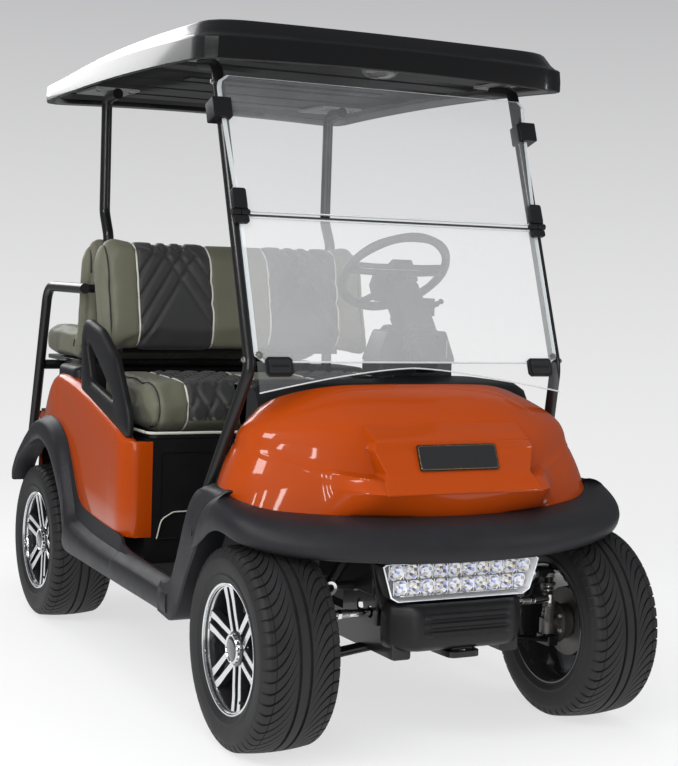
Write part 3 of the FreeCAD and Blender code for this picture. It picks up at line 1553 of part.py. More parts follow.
def rear_seat_cross():
    """Cross tubes and brackets under the rear bench."""
    z = rear_seat_z - frame_tube_radius - running_gap
    leg_share = (side_tube_knee_z - z) / (side_tube_knee_z - footplate_z)
    y = at(side_tube_knee_back + (side_tube_low_back - side_tube_knee_back) * leg_share)
    inner = side_tube_x - frame_tube_radius - running_gap
    rear = rod(V(-inner, y, z), V(inner, y, z), frame_tube_radius)
    front_y = at(rear_seat_front_back) + 2 * frame_tube_radius
    front = rod(V(-inner, front_y, z), V(inner, front_y, z), frame_tube_radius)
    pieces = [rear, front]
    for side in (-1, 1):
        corner = V(side * rear_seat_rail_x, front_y, z)
        rail = rod(corner, V(side * rear_seat_rail_x, y, z), seat_rail_radius)
        post = rod(corner, V(side * rear_seat_rail_x, front_y, body_rear_top_z + running_gap), seat_post_radius)
        pieces += [rail, post]
    return joined(pieces)


def footplate():
    """Rear step: ribbed plate on two arms from the rails."""
    half = footplate_half_width
    z = footplate_z
    plate = plan_prism([(-half, at(footplate_front_back)), (half, at(footplate_front_back)), (half, tail_y),
                        (-half, tail_y)], z - footplate_thickness, z, footplate_corner)
    ribs = []
    run = tail_y - at(footplate_front_back)
    for index in range(footplate_ribs):
        y = at(footplate_front_back) + run * (index + 1) / (footplate_ribs + 1)
        ribs.append(box(-half + footplate_corner, half - footplate_corner, y - mat_rib_width, y + mat_rib_width,
                        z - footplate_thickness, z + mat_rib_height))
    arm_x = rail_x - rail_width / 2 - running_gap - footplate_arm_width
    arm_top = rail_high_z + rail_height - cross_tube_size - running_gap
    start = at(rail_rear_back) - footplate_arm_start
    end = at(footplate_front_back) + footplate_corner
    arm = side_prism([(start, rail_high_z), (at(rail_rear_back), rail_high_z), (end, z - footplate_arm_drop),
                      (end, z - footplate_thickness / 2), (at(rail_rear_back), arm_top), (start, arm_top)],
                     arm_x, arm_x + footplate_arm_width)
    return joined([plate] + ribs + both(arm))


def tail_lamps():
    y = at(body_rear_back) + running_gap
    lamp = rod(V(tail_lamp_x, y, tail_lamp_z), V(tail_lamp_x, y + tail_lamp_depth, tail_lamp_z), tail_lamp_radius)
    lamp = lamp.makeChamfer(tail_lamp_depth / 4, [edge for edge in lamp.Edges if edge.CenterOfMass.y
                                                  > y + tail_lamp_depth / 2 and edge.Closed])
    return group(both(lamp))


# Rear axle
def rear_axle():
    """Axle tubes, differential, motor and brake drums in one unit."""
    y = rear_axle_y
    z = tyre_radius
    root = rear_wheel_x + rim_width / 2 - rim_face_inset - 2 * rim_face_depth - running_gap
    end = root + 2 * rim_face_depth - hub_bore_cover - running_gap
    pieces = [rod(V(-root, y, z), V(root, y, z), axle_tube_radius),
              rod(V(-end, y, z), V(end, y, z), spindle_radius),
              rod(V(-differential_width / 2, y, z), V(differential_width / 2, y, z), differential_radius)]
    for side in (-1, 1):
        pieces.append(rod(V(side * (root - drum_width), y, z), V(side * root, y, z), rim_drum_radius))
    motor_x = -differential_width / 2
    pieces.append(rod(V(motor_x, y - motor_offset, z + motor_rise), V(motor_x + motor_length, y - motor_offset,
                                                                     z + motor_rise), motor_radius))
    return joined(pieces)


def rear_leaf_springs():
    pieces = []
    for side in (-1, 1):
        low = tyre_radius + axle_tube_radius + running_gap
        arc = leaf(rear_spring_half_length, -rear_spring_rise, low + rear_spring_thickness, rear_spring_width,
                   rear_spring_thickness, 0)
        arc.rotate(V(0, 0, 0), V(0, 0, 1), 90)
        arc.translate(V(side * rear_spring_x, rear_axle_y, 0))
        pieces.append(arc)
    return group(pieces)


def main():
    os.makedirs("parts", exist_ok=True)
    save("chassis_frame", group([chassis_rails(), chassis_cross(), front_cradle()]))
    save("front_suspension", group([front_leaf_spring(), front_arms()]))
    save("steering_rack", steering_rack())
    save("tie_rods", tie_rods())
    left = knuckle()
    save("knuckle_left", left)
    save("knuckle_right", mirrored(left))
    for place, x, y in (("front", front_wheel_x, at(0)), ("rear", rear_wheel_x, rear_axle_y)):
        rim = wheel(x, y)
        tread = tyre(x, y)
        save("wheel_" + place + "_left", rim)
        save("wheel_" + place + "_right", mirrored(rim))
        save("tyre_" + place + "_left", tread)
        save("tyre_" + place + "_right", mirrored(tread))
    save("floor_pan", floor_pan())
    save("floor_mat", floor_mat())
    save("front_cowl", front_cowl())
    save("front_plate", front_plate())
    save("front_bumper", front_bumper())
    save("front_inner_panel", front_inner_panel())
    save("headlamp_housing", headlamp_housing())
    save("headlamp_lens", headlamp_lens())
    save("lower_guard", lower_guard())
    save("tow_bracket", tow_bracket())
    save("dashboard", dashboard())
    save("steering_column", steering_column())
    save("steering_wheel", steering_wheel())
    save("pedals", pedals())
    save("windshield_lower", windshield_lower())
    save("windshield_upper", windshield_upper())
    save("windshield_latches", group([latches(), windshield_clips()]))
    save("windshield_hinges", windshield_hinges())
    save("roof_struts", group([front_struts(), rear_struts()]))
    save("roof_skin", roof())
    save("roof_liner", roof_frame())
    save("front_seat_board", front_seat_board())
    save("front_cushion", front_cushion())
    save("seat_backs", group([front_seat_back(), rear_seat_back()]))
    save("seat_back_shell", seat_back_shell())
    save("rear_cushion", rear_cushion())
    save("rear_seat_board", rear_seat_board())
    save("seat_base", seat_base())
    save("rear_body", rear_body())
    save("body_deck", group([body_deck(), wheel_wells()]))
    save("rocker_panels", rocker_panels())
    save("battery_pack", group([battery_pack(), battery_tray()]))
    save("hip_restraints", hip_restraints())
    save("rear_seat_frame", group([rear_seat_frame(), rear_seat_cross(), footplate()]))
    save("tail_lamps", tail_lamps())
    save("rear_suspension", group([rear_axle(), rear_leaf_springs()]))


main()
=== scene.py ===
import math

import bmesh
import bpy
from mathutils import Matrix, Vector
from mathutils.bvhtree import BVHTree


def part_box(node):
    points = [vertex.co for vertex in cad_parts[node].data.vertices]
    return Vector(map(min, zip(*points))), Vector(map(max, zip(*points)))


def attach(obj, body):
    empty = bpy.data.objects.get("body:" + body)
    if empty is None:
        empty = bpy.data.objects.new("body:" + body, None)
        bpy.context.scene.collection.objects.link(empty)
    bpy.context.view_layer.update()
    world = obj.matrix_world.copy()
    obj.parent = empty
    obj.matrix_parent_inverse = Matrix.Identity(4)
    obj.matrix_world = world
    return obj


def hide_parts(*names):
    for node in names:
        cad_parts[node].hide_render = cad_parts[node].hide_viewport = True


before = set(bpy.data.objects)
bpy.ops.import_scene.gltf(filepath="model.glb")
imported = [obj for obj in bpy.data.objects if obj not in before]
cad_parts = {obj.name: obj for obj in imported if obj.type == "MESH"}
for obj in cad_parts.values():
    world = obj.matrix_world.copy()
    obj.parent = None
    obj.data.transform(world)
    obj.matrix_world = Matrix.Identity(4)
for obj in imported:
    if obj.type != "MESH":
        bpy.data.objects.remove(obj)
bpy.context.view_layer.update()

bl_info = {
    "name": "Golf cart dressing",
    "version": (1, 0, 0),
    "blender": (4, 5, 0),
    "location": "3D View > Sidebar > Cart",
    "description": "Dresses a four-seat golf cart: paint, vinyl, glass, tyres, wheels and trim over its frame",
    "category": "Object",
}

# Camera of the photograph, in the cart's own frame
IMAGE_HEIGHT = 766
FOCAL_PIXELS = 1583.458
SENSOR = 36.0
FLOOR_REACH = 14.0
CAMERA_PLACE = Vector((-2.101, -4.5725, 1.199))
CAMERA_YAW = math.radians(27.004)
CAMERA_PITCH = math.radians(-3.946)
CAMERA_ROLL = math.radians(1.853)

AXLE_FRONT_Y = -1.0025
AXLE_REAR_Y = 0.6615
AXLE_Z = 0.26
SIDES = (("left", 1), ("right", -1))
# Turn a flat outline upright: (x, z) pulled along Y, and (y, z) pulled along X
UPRIGHT = Matrix(((1, 0, 0, 0), (0, 0, 1, 0), (0, 1, 0, 0), (0, 0, 0, 1)))
SIDEWAYS = Matrix(((0, 0, 1, 0), (1, 0, 0, 0), (0, 1, 0, 0), (0, 0, 0, 1)))


def metres(*rows):
    """Numbers drawn in millimetres, in rows or on their own, as metres."""
    return tuple(tuple(value / 1000 for value in row) if isinstance(row, tuple) else row / 1000 for row in rows)


COLOUR = {"subtype": "COLOR", "size": 3, "min": 0, "max": 1}


class CartColours(bpy.types.PropertyGroup):
    body: bpy.props.FloatVectorProperty(name="Body paint", description="Nose and rear body",
                                        default=(0.262, 0.034, 0.0012), **COLOUR)
    trim: bpy.props.FloatVectorProperty(name="Moulded trim", description="Bumper, sills and arch trim",
                                        default=(0.0115, 0.0115, 0.0138), **COLOUR)
    seat_panel: bpy.props.FloatVectorProperty(name="Seat panel", description="Quilted seat panels",
                                              default=(0.022, 0.022, 0.022), **COLOUR)
    seat_bolster: bpy.props.FloatVectorProperty(name="Seat bolster", description="Bolsters and centre strip",
                                                default=(0.085, 0.085, 0.058), **COLOUR)
    piping: bpy.props.FloatVectorProperty(name="Piping", description="Piping and light seat trim",
                                          default=(0.42, 0.42, 0.37), **COLOUR)
    black: bpy.props.FloatVectorProperty(name="Black finish", description="Canopy, struts and dash",
                                         default=(0.011, 0.011, 0.012), **COLOUR)


class CartSizes(bpy.types.PropertyGroup):
    tread_depth: bpy.props.FloatProperty(name="Tread depth", description="Depth of the tread grooves",
                                         default=0.006, min=0.001, max=0.012, unit="LENGTH")
    piping_radius: bpy.props.FloatProperty(name="Piping radius", description="Radius of the seat piping",
                                           default=0.004, min=0.001, max=0.01, unit="LENGTH")
    quilt_depth: bpy.props.FloatProperty(name="Quilt depth", description="Depth of the sewn channels",
                                         default=0.01, min=0.001, max=0.02, unit="LENGTH")


class Value:
    """A socket of the tree being made, with arithmetic that adds Math nodes."""

    def __init__(self, maker, socket):
        self.maker = maker
        self.socket = socket

    def math(self, operation, *values):
        inputs = {index: value for index, value in enumerate(values)}
        return self.maker.add("ShaderNodeMath", {"operation": operation}, inputs)[0]

    def __add__(self, other):
        return self.math("ADD", self, other)

    __radd__ = __add__

    def __sub__(self, other):
        return self.math("SUBTRACT", self, other)

    def __rsub__(self, other):
        return self.math("SUBTRACT", other, self)

    def __mul__(self, other):
        return self.math("MULTIPLY", self, other)

    __rmul__ = __mul__

    def clamped(self):
        return self.math("MINIMUM", self.math("MAXIMUM", self, 0.0), 1.0)


class Made:
    """A node of the tree being made; indexing gives an output as a Value."""

    def __init__(self, maker, node):
        self.maker = maker
        self.node = node

    def __getitem__(self, key):
        return Value(self.maker, self.node.outputs[key])


class Tree:
    """A node tree being made: add() makes every node of it."""

    def __init__(self, tree):
        self.tree = tree

    def add(self, kind, settings=None, inputs=None):
        node = self.tree.nodes.new(kind)
        for key, value in (settings or {}).items():
            setattr(node, key, value)
        self.feed(node, inputs or {})
        return Made(self, node)

    def feed(self, node, inputs):
        for key, value in inputs.items():
            if isinstance(value, Value):
                self.tree.links.new(value.socket, node.inputs[key])
            else:
                node.inputs[key].default_value = value


class Material(Tree):
    """One procedural finish; shade() sets its surface."""

    def __init__(self, name):
        self.material = bpy.data.materials.new(name)
        self.material.use_nodes = True
        super().__init__(self.material.node_tree)
        self.surface = self.tree.nodes["Principled BSDF"]
        self.place = self.add("ShaderNodeTexCoord")["Object"]

    def noise(self, scale, detail=2.0, roughness=0.5, at=None):
        return self.add("ShaderNodeTexNoise", None, {"Vector": at or self.place, "Scale": scale, "Detail": detail,
                                                     "Roughness": roughness})["Fac"]

    def ramp(self, value, low, high, start=0.0, end=1.0):
        return self.add("ShaderNodeMapRange", {"clamp": True},
                        {"Value": value, "From Min": low, "From Max": high, "To Min": start, "To Max": end})[0]

    def mix(self, share, first, second):
        """A colour between two, either of them a colour or a Value."""
        colours = {key: (*value, 1.0) if isinstance(value, tuple) else value
                   for key, value in ((6, first), (7, second))}
        return self.add("ShaderNodeMix", {"data_type": "RGBA"}, {0: share, **colours})[2]

    def bump(self, height, strength, distance):
        return self.add("ShaderNodeBump", None, {"Height": height, "Strength": strength, "Distance": distance})[0]

    def shade(self, **inputs):
        self.feed(self.surface, {key.replace("_", " "): (*value, 1.0) if isinstance(value, tuple) else value
                                 for key, value in inputs.items()})
        return self.material


def scaled(value, share):
    return tuple(channel * share for channel in value)


def paint_material(name, base, roughness=0.2, coat=1.0, specular=0.5):
    made = Material(name)
    cloud = made.noise(3.0, 3.0)
    flake = made.noise(900.0, 1.0)
    tone = made.mix(cloud, scaled(base, 0.94), scaled(base, 1.06))
    peel = made.bump(made.noise(160.0, 2.0), 0.05, 0.0006)
    return made.shade(Base_Color=tone, Roughness=made.ramp(flake, 0.2, 0.8, roughness, roughness + 0.06),
                      Coat_Weight=coat, Coat_Roughness=0.05, Specular_IOR_Level=specular, Normal=peel)


def plastic_material(name, base, roughness=0.5, grain=0.5, size=700.0, specular=0.5):
    """Moulded plastic with a fine cast grain and faint scuffs."""
    made = Material(name)
    cells = made.add("ShaderNodeTexVoronoi", {"feature": "F1"}, {"Vector": made.place, "Scale": size})["Distance"]
    scuff = made.ramp(made.noise(14.0, 6.0, 0.7), 0.45, 0.75)
    tone = made.mix(scuff, scaled(base, 0.93), scaled(base, 1.16))
    height = made.bump(cells * 0.6 + made.noise(size * 2.2, 2.0) * 0.4, grain, 0.0006)
    return made.shade(Base_Color=tone, Roughness=made.ramp(scuff, 0.0, 1.0, roughness, roughness + 0.08),
                      Normal=height, Specular_IOR_Level=specular)


def metal_material(name, base, roughness=0.25, stretch=(60.0, 60.0, 900.0)):
    """Bright metal with fine drawn lines and dull blotches."""
    made = Material(name)
    at = made.add("ShaderNodeMapping", None, {"Vector": made.place, "Scale": stretch})[0]
    lines = made.noise(1.0, 4.0, 0.6, at)
    blotch = made.noise(22.0, 4.0, 0.6)
    tone = made.mix(blotch, scaled(base, 0.82), base)
    return made.shade(Base_Color=tone, Metallic=1.0, Normal=made.bump(lines, 0.08, 0.0005),
                      Roughness=made.ramp(lines * 0.5 + blotch * 0.5, 0.2, 0.8, roughness * 0.7, roughness * 1.4))


def rubber_material(name, base, roughness=0.62):
    made = Material(name)
    dust = made.ramp(made.noise(9.0, 6.0, 0.65), 0.4, 0.8)
    tone = made.mix(dust, base, scaled(base, 1.7))
    height = made.bump(made.noise(1400.0, 2.0) + made.noise(260.0, 3.0) * 0.5, 0.25, 0.0005)
    return made.shade(Base_Color=tone, Roughness=made.ramp(dust, 0.0, 1.0, roughness - 0.06, roughness + 0.1),
                      Normal=height, Specular_IOR_Level=0.4)


def vinyl_material(name, base, roughness=0.42):
    """Grained marine vinyl: pebbled cells, with a soft sheen on the high spots."""
    made = Material(name)
    cells = made.add("ShaderNodeTexVoronoi", {"feature": "DISTANCE_TO_EDGE"},
                     {"Vector": made.place, "Scale": 420.0})["Distance"]
    pebble = made.ramp(cells, 0.0, 0.28)
    cloud = made.noise(7.0, 4.0, 0.6)
    tone = made.mix(cloud, scaled(base, 0.86), scaled(base, 1.14))
    height = made.bump(pebble + made.noise(60.0, 3.0) * 0.6, 0.35, 0.0007)
    return made.shade(Base_Color=tone, Roughness=made.ramp(pebble, 0.0, 1.0, roughness + 0.14, roughness),
                      Normal=height, Sheen_Weight=0.08)


def clear_material(name, base, alpha, roughness=0.02):
    """Clear acrylic: thin, faintly grey, with a smear of dust that catches the light."""
    made = Material(name)
    smear = made.ramp(made.noise(5.0, 5.0, 0.7), 0.35, 0.8)
    made.material.surface_render_method = "DITHERED"
    return made.shade(Base_Color=base, Roughness=made.ramp(smear, 0.0, 1.0, roughness, roughness + 0.05),
                      Alpha=made.ramp(smear, 0.0, 1.0, alpha, alpha + 0.04), IOR=1.49, Specular_IOR_Level=0.3)


FINISHES = {}


def make_finishes(colours):
    """Every finish, made once, from the colours in the sidebar."""
    black = tuple(colours.black)
    trim = tuple(colours.trim)
    FINISHES.update({
        "orange": paint_material("body_paint", tuple(colours.body), 0.3, 0.6, 0.08),
        "trim": plastic_material("moulded_trim", trim, 0.44, 0.35, 900.0, 0.3),
        "black": plastic_material("black_plastic", scaled(black, 0.5), 0.42, 0.3, 900.0, 0.25),
        "gloss": paint_material("gloss_black", black, 0.12),
        "canopy": paint_material("canopy_black", scaled(black, 0.3), 0.2, 0.45, 0.3),
        "satin": paint_material("satin_black", scaled(black, 0.5), 0.3, 0.25, 0.4),
        "metal": metal_material("zinc_plate", (0.62, 0.61, 0.58), 0.28),
        "chrome": metal_material("lamp_chrome", (0.86, 0.86, 0.87), 0.08),
        "machined": metal_material("machined_face", (0.84, 0.85, 0.87), 0.2, (700.0, 20.0, 20.0)),
        "wheel_black": paint_material("wheel_black", scaled(black, 0.9), 0.16, 0.8),
        "cast": metal_material("cast_drum", (0.22, 0.21, 0.2), 0.5, (40.0, 40.0, 40.0)),
        "gold": metal_material("gold_border", (0.72, 0.56, 0.28), 0.25),
        "led": paint_material("led_lens", (0.85, 0.86, 0.9), 0.1, 0.5),
        # Painted reflections: blue, gold and dark finishes laid on single faces of the lamp's chrome cells
        "spark_blue": paint_material("lamp_spark_blue", (0.3, 0.36, 0.74), 0.15, 0.8),
        "spark_gold": paint_material("lamp_spark_gold", (0.66, 0.56, 0.34), 0.15, 0.8),
        "spark_dark": paint_material("lamp_spark_dark", (0.05, 0.05, 0.08), 0.15, 0.8),
        "black_moulding": plastic_material("black_moulding", scaled(black, 0.7), 0.36, 0.25, 900.0, 0.3),
        "pane": clear_material("clear_pane", (0.52, 0.53, 0.55), 0.06),
        "pane_low": clear_material("milky_pane", (0.6, 0.605, 0.61), 0.21),
        "lens": clear_material("lamp_lens", (0.9, 0.92, 0.93), 0.1),
        "liner": plastic_material("roof_liner", scaled(black, 1.2), 0.5, 0.4, 300.0),
        "bracket": plastic_material("roof_bracket", (0.22, 0.22, 0.22), 0.45, 0.3),
        "smoke": paint_material("dome_lens", (0.1, 0.1, 0.1), 0.1, 0.6),
        "pane_edge": clear_material("pane_edge", (0.56, 0.59, 0.6), 0.62),
        "mat": rubber_material("floor_rubber", (0.016, 0.016, 0.016)),
        "tyre": rubber_material("tyre_rubber", (0.0085, 0.0085, 0.009)),
        "floor": plastic_material("floor_paint", (0.02, 0.02, 0.02), 0.55),
        "vinyl_dark": vinyl_material("vinyl_panel", tuple(colours.seat_panel)),
        "vinyl_olive": vinyl_material("vinyl_bolster", tuple(colours.seat_bolster)),
        "piping": vinyl_material("vinyl_piping", tuple(colours.piping), 0.38),
        "red": paint_material("red_lens", (0.42, 0.008, 0.006), 0.12),
        "grip": plastic_material("wheel_grip", scaled(black, 1.6), 0.5, 0.5, 1100.0),
    })


NODE_FINISHES = {
    "orange": ("front_cowl", "rear_body"),
    "trim": ("front_bumper", "front_inner_panel", "lower_guard", "rocker_panels"),
    "black": ("battery_pack", "body_deck", "dashboard", "seat_back_shell", "seat_base", "steering_column",
              "windshield_latches", "windshield_hinges", "roof_liner", "front_plate"),
    "satin": ("front_suspension", "chassis_frame", "tow_bracket", "roof_struts", "hip_restraints", "rear_seat_frame",
              "rear_suspension", "front_seat_board", "rear_seat_board", "knuckle_left", "knuckle_right"),
    "gloss": ("roof_skin",),
    "metal": ("steering_rack", "tie_rods", "pedals"),
    "chrome": ("headlamp_housing",),
    "pane": ("windshield_lower", "windshield_upper"),
    "lens": ("headlamp_lens",),
    "mat": ("floor_mat",),
    "floor": ("floor_pan",),
    "vinyl_dark": ("front_cushion", "rear_cushion", "seat_backs"),
    "red": ("tail_lamps",),
    "grip": ("steering_wheel",),
    "tyre": ("tyre_front_left", "tyre_front_right", "tyre_rear_left", "tyre_rear_right"),
    "machined": ("wheel_front_left", "wheel_front_right", "wheel_rear_left", "wheel_rear_right"),
}


def finish_nodes():
    """Gives every frame node its finish, and smooth shading up to a crease angle."""
    for finish, names in NODE_FINISHES.items():
        for name in names:
            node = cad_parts[name]
            node.data.materials.clear()
            node.data.materials.append(FINISHES[finish])
            crease(node)


def crease(piece, angle=35.0):
    """Smooth shading, sharp over the angle."""
    mesh = piece.data
    mesh.shade_smooth()
    mesh.set_sharp_from_angle(angle=math.radians(angle))


class Shape:
    """Faces gathered for one piece; each part of it has its own finish and may be placed by a matrix."""

    def __init__(self):
        self.corners = []
        self.faces = []
        self.finishes = []

    def add(self, corners, faces, finish, place=None):
        start = len(self.corners)
        self.corners += [(place @ Vector(c)) if place else Vector(c) for c in corners]
        self.faces += [tuple(start + index for index in face) for face in faces]
        self.finishes += [finish] * len(faces)
        return self

    def grid(self, rows, finish, closed_rows=False, closed_columns=False, place=None, pick=None):
        """Quads over rows of points; pick(row, column) may give a face its own finish."""
        tall, wide = len(rows), len(rows[0])
        corners = [point for row in rows for point in row]
        faces, names = [], []
        for i in range(tall if closed_rows else tall - 1):
            for j in range(wide if closed_columns else wide - 1):
                k, m = (i + 1) % tall, (j + 1) % wide
                faces.append((i * wide + j, i * wide + m, k * wide + m, k * wide + j))
                names.append(pick(i, j) if pick else finish)
        self.add(corners, faces, finish, place)
        self.finishes[-len(names):] = names
        return self

    def lathe(self, outline, turns, finish, place=None, pick=None):
        """An outline of (along, radius) points spun about the X axis."""
        rows = []
        for turn in range(turns):
            angle = math.tau * turn / turns
            rows.append([(along, radius * math.sin(angle), radius * math.cos(angle)) for along, radius in outline])
        return self.grid(rows, finish, closed_rows=True, place=place, pick=pick)

    def hoop(self, rows, finish, place=None):
        """A grid closed both ways, as a ring is."""
        return self.grid(rows, finish, closed_rows=True, closed_columns=True, place=place)

    def cap(self, row, finish):
        """One flat face over a closed row of points."""
        return self.add(row, [tuple(range(len(row)))], finish)

    def prism(self, outline, low, high, finish, place=None):
        """A closed (x, y) outline pulled up from low to high, with both ends."""
        count = len(outline)
        corners = [(x, y, low) for x, y in outline] + [(x, y, high) for x, y in outline]
        faces = [(i, (i + 1) % count, count + (i + 1) % count, count + i) for i in range(count)]
        faces += [tuple(reversed(range(count))), tuple(range(count, 2 * count))]
        return self.add(corners, faces, finish, place)

    def block(self, low, high, finish, place=None):
        outline = [(low[0], low[1]), (high[0], low[1]), (high[0], high[1]), (low[0], high[1])]
        return self.prism(outline, low[2], high[2], finish, place)

    def tube(self, points, radius, finish, sides=16, place=None):
        """A round bar along a line of points; radius is one size or one for each point."""
        sizes = list(radius) if isinstance(radius, (list, tuple)) else [radius] * len(points)
        line = [Vector(point) for point in points]
        rows = []
        normal = None
        for index, point in enumerate(line):
            before, after = line[max(index - 1, 0)], line[min(index + 1, len(line) - 1)]
            along = (after - before).normalized()
            if normal is None:
                normal = along.orthogonal().normalized()
            normal = (normal - along * normal.dot(along)).normalized()
            across = along.cross(normal)
            rows.append([point + (normal * math.cos(math.tau * k / sides) + across * math.sin(math.tau * k / sides))
                         * sizes[index] for k in range(sides)])
        self.grid(rows, finish, closed_columns=True, place=place)
        for row, order in ((rows[0], range(sides)), (rows[-1], reversed(range(sides)))):
            self.add(row, [tuple(order)], finish, place)
        return self

    def made(self, name, nodes=(), slot=None, body="cart_body", angle=32.0, bevel=0.0, segments=2):
        """The finished piece, riding on its body and standing for its nodes."""
        mesh = bpy.data.meshes.new(name)
        mesh.from_pydata(self.corners, [], self.faces)
        used = sorted(set(self.finishes))
        for finish in used:
            mesh.materials.append(FINISHES[finish])
        mesh.polygons.foreach_set("material_index", [used.index(finish) for finish in self.finishes])
        work = bmesh.new()
        work.from_mesh(mesh)
        bmesh.ops.remove_doubles(work, verts=work.verts, dist=1e-5)
        bmesh.ops.recalc_face_normals(work, faces=work.faces)
        work.to_mesh(mesh)
        work.free()
        piece = bpy.data.objects.new(name, mesh)
        bpy.context.scene.collection.objects.link(piece)
        if bevel:
            edge = piece.modifiers.new("edge", "BEVEL")
            edge.width, edge.segments = bevel, segments
            edge.limit_method, edge.angle_limit = "ANGLE", math.radians(angle)
            edge.harden_normals = False
        crease(piece, 60.0 if bevel else angle)
        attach(piece, body)
        if nodes:
            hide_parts(*nodes)
        return piece


def rounded(points, radius, steps=6):
    """A line of 3D points with each inner corner turned into an arc."""
    line = [Vector(point) for point in points]
    sizes = list(radius) if isinstance(radius, (list, tuple)) else [radius] * (len(line) - 2)
    path = [line[0]]
    for here, before, after, size in zip(line[1:-1], line, line[2:], sizes):
        back, ahead = (before - here).normalized(), (after - here).normalized()
        turn = math.pi - back.angle(ahead)
        if turn < 0.02:
            path.append(here)
            continue
        reach = min(size * math.tan(turn / 2), (before - here).length * 0.49, (after - here).length * 0.49)
        start, end = here + back * reach, here + ahead * reach
        for step in range(steps + 1):
            share = step / steps
            path.append(start.lerp(here, share).lerp(here.lerp(end, share), share))
    path.append(line[-1])
    return path


def rounded_outline(points, radius, steps=4):
    """A closed (x, y) outline with rounded corners."""
    count = len(points)
    sizes = list(radius) if isinstance(radius, (list, tuple)) else [radius] * count
    outline = []
    for index, (x, y) in enumerate(points):
        here = Vector((x, y))
        back = Vector(points[index - 1]) - here
        ahead = Vector(points[(index + 1) % count]) - here
        if not sizes[index]:
            outline.append((x, y))
            continue
        turn = math.pi - back.angle(ahead)
        reach = min(sizes[index] * math.tan(turn / 2), back.length * 0.49, ahead.length * 0.49)
        start, end = here + back.normalized() * reach, here + ahead.normalized() * reach
        for step in range(steps + 1):
            share = step / steps
            spot = start.lerp(here, share).lerp(here.lerp(end, share), share)
            outline.append((spot.x, spot.y))
    return outline


def circle(radius, sides=24, center=(0.0, 0.0)):
    return [(center[0] + radius * math.cos(math.tau * k / sides), center[1] + radius * math.sin(math.tau * k / sides))
            for k in range(sides)]


def rings(sizes, sides):
    """Level circles of points, one for each (radius, z)."""
    return [[Vector((x, y, z)) for x, y in circle(radius, sides)] for radius, z in sizes]


def slab(half, low, high, corner, steps=4, top=None):
    """A rounded (x, y) outline, twice half wide at its low edge and twice top at its high edge."""
    top = half if top is None else top
    return rounded_outline([(-half, low), (half, low), (top, high), (-top, high)], corner, steps)


def at_depth(outline, y):
    """An (x, z) outline as points that stand at one depth."""
    return [Vector((x, y, z)) for x, z in outline]


def at_height(outline, z):
    """An (x, y) outline as points at one height."""
    return [Vector((x, y, z)) for x, y in outline]


def facing(place, along, up=(0.0, 0.0, 1.0)):
    """A matrix that puts local Z along a direction, local Y near up, at a place."""
    z = Vector(along).normalized()
    x = Vector(up).cross(z)
    if x.length < 1e-4:
        x = Vector((1.0, 0.0, 0.0))
    x.normalize()
    y = z.cross(x)
    return Matrix.Translation(Vector(place)) @ Matrix((x, y, z)).transposed().to_4x4()


def bolt(shape, place, along, radius=0.006, height=0.005, finish="metal"):
    """A screw head on its washer, standing along a direction."""
    spot = facing(place, along)
    shape.prism(circle(radius * 1.45, 20), -0.001, 0.0012, finish, spot)
    shape.prism(circle(radius, 6), 0.0012, height, finish, spot)
    shape.prism(circle(radius * 0.55, 12), height, height + 0.0012, finish, spot)


# Stage: floor, backdrop, lamps and camera
def camera_basis():
    ahead = Vector((math.sin(CAMERA_YAW) * math.cos(CAMERA_PITCH), math.cos(CAMERA_YAW) * math.cos(CAMERA_PITCH),
                    math.sin(CAMERA_PITCH)))
    right = Vector((math.cos(CAMERA_YAW), -math.sin(CAMERA_YAW), 0.0))
    up = right.cross(ahead)
    across = right * math.cos(CAMERA_ROLL) + up * math.sin(CAMERA_ROLL)
    above = up * math.cos(CAMERA_ROLL) - right * math.sin(CAMERA_ROLL)
    return across, above, ahead


def set_camera():
    data = bpy.data.cameras.new("photo_camera")
    data.sensor_width = SENSOR
    data.lens = FOCAL_PIXELS * SENSOR / IMAGE_HEIGHT
    camera = bpy.data.objects.new("photo_camera", data)
    bpy.context.scene.collection.objects.link(camera)
    across, above, ahead = camera_basis()
    camera.matrix_world = Matrix((
        (across.x, above.x, -ahead.x, CAMERA_PLACE.x), (across.y, above.y, -ahead.y, CAMERA_PLACE.y),
        (across.z, above.z, -ahead.z, CAMERA_PLACE.z), (0.0, 0.0, 0.0, 1.0)))
    bpy.context.scene.camera = camera


# Name, place, target, size, power, and whether shiny surfaces mirror the lamp
LAMPS = (
    ("key_lamp", (-3.2, -4.2, 4.6), (0, -0.2, 0.7), (3.2, 3.2), 150, False),
    ("side_lamp", (-5.0, 0.6, 2.2), (0, 0.2, 0.7), (2.6, 2.2), 130, False),
    ("fill_lamp", (4.4, -3.0, 3.0), (0, -0.3, 0.7), (3.0, 3.0), 90, False),
    ("top_lamp", (0, 0.4, 5.2), (0, 0, 0.5), (4.5, 4.5), 150, False),
    ("window_lamp", (-3.4, -2.2, 3.6), (0, -0.4, 0.8), (1.3, 1.0), 60, True),
    ("low_lamp", (-1.6, -5.0, 0.9), (0, -1.0, 0.6), (3.0, 1.2), 85, False),
    ("strip_lamp_1", (-3.9, -3.4, 1.5), (-0.2, -0.9, 0.7), (0.16, 1.7), 16, True),
    ("strip_lamp_2", (-3.3, -3.8, 1.5), (-0.2, -0.9, 0.7), (0.16, 1.7), 16, True),
    ("strip_lamp_3", (-2.7, -4.2, 1.5), (-0.2, -0.9, 0.7), (0.16, 1.7), 16, True),
    ("strip_lamp_4", (3.3, -3.6, 1.5), (0.2, -0.9, 0.7), (0.2, 1.7), 16, True),
    ("back_lamp", (-1.0, 5.0, 3.2), (0, 0.2, 0.8), (3.0, 2.0), 80, True),
)


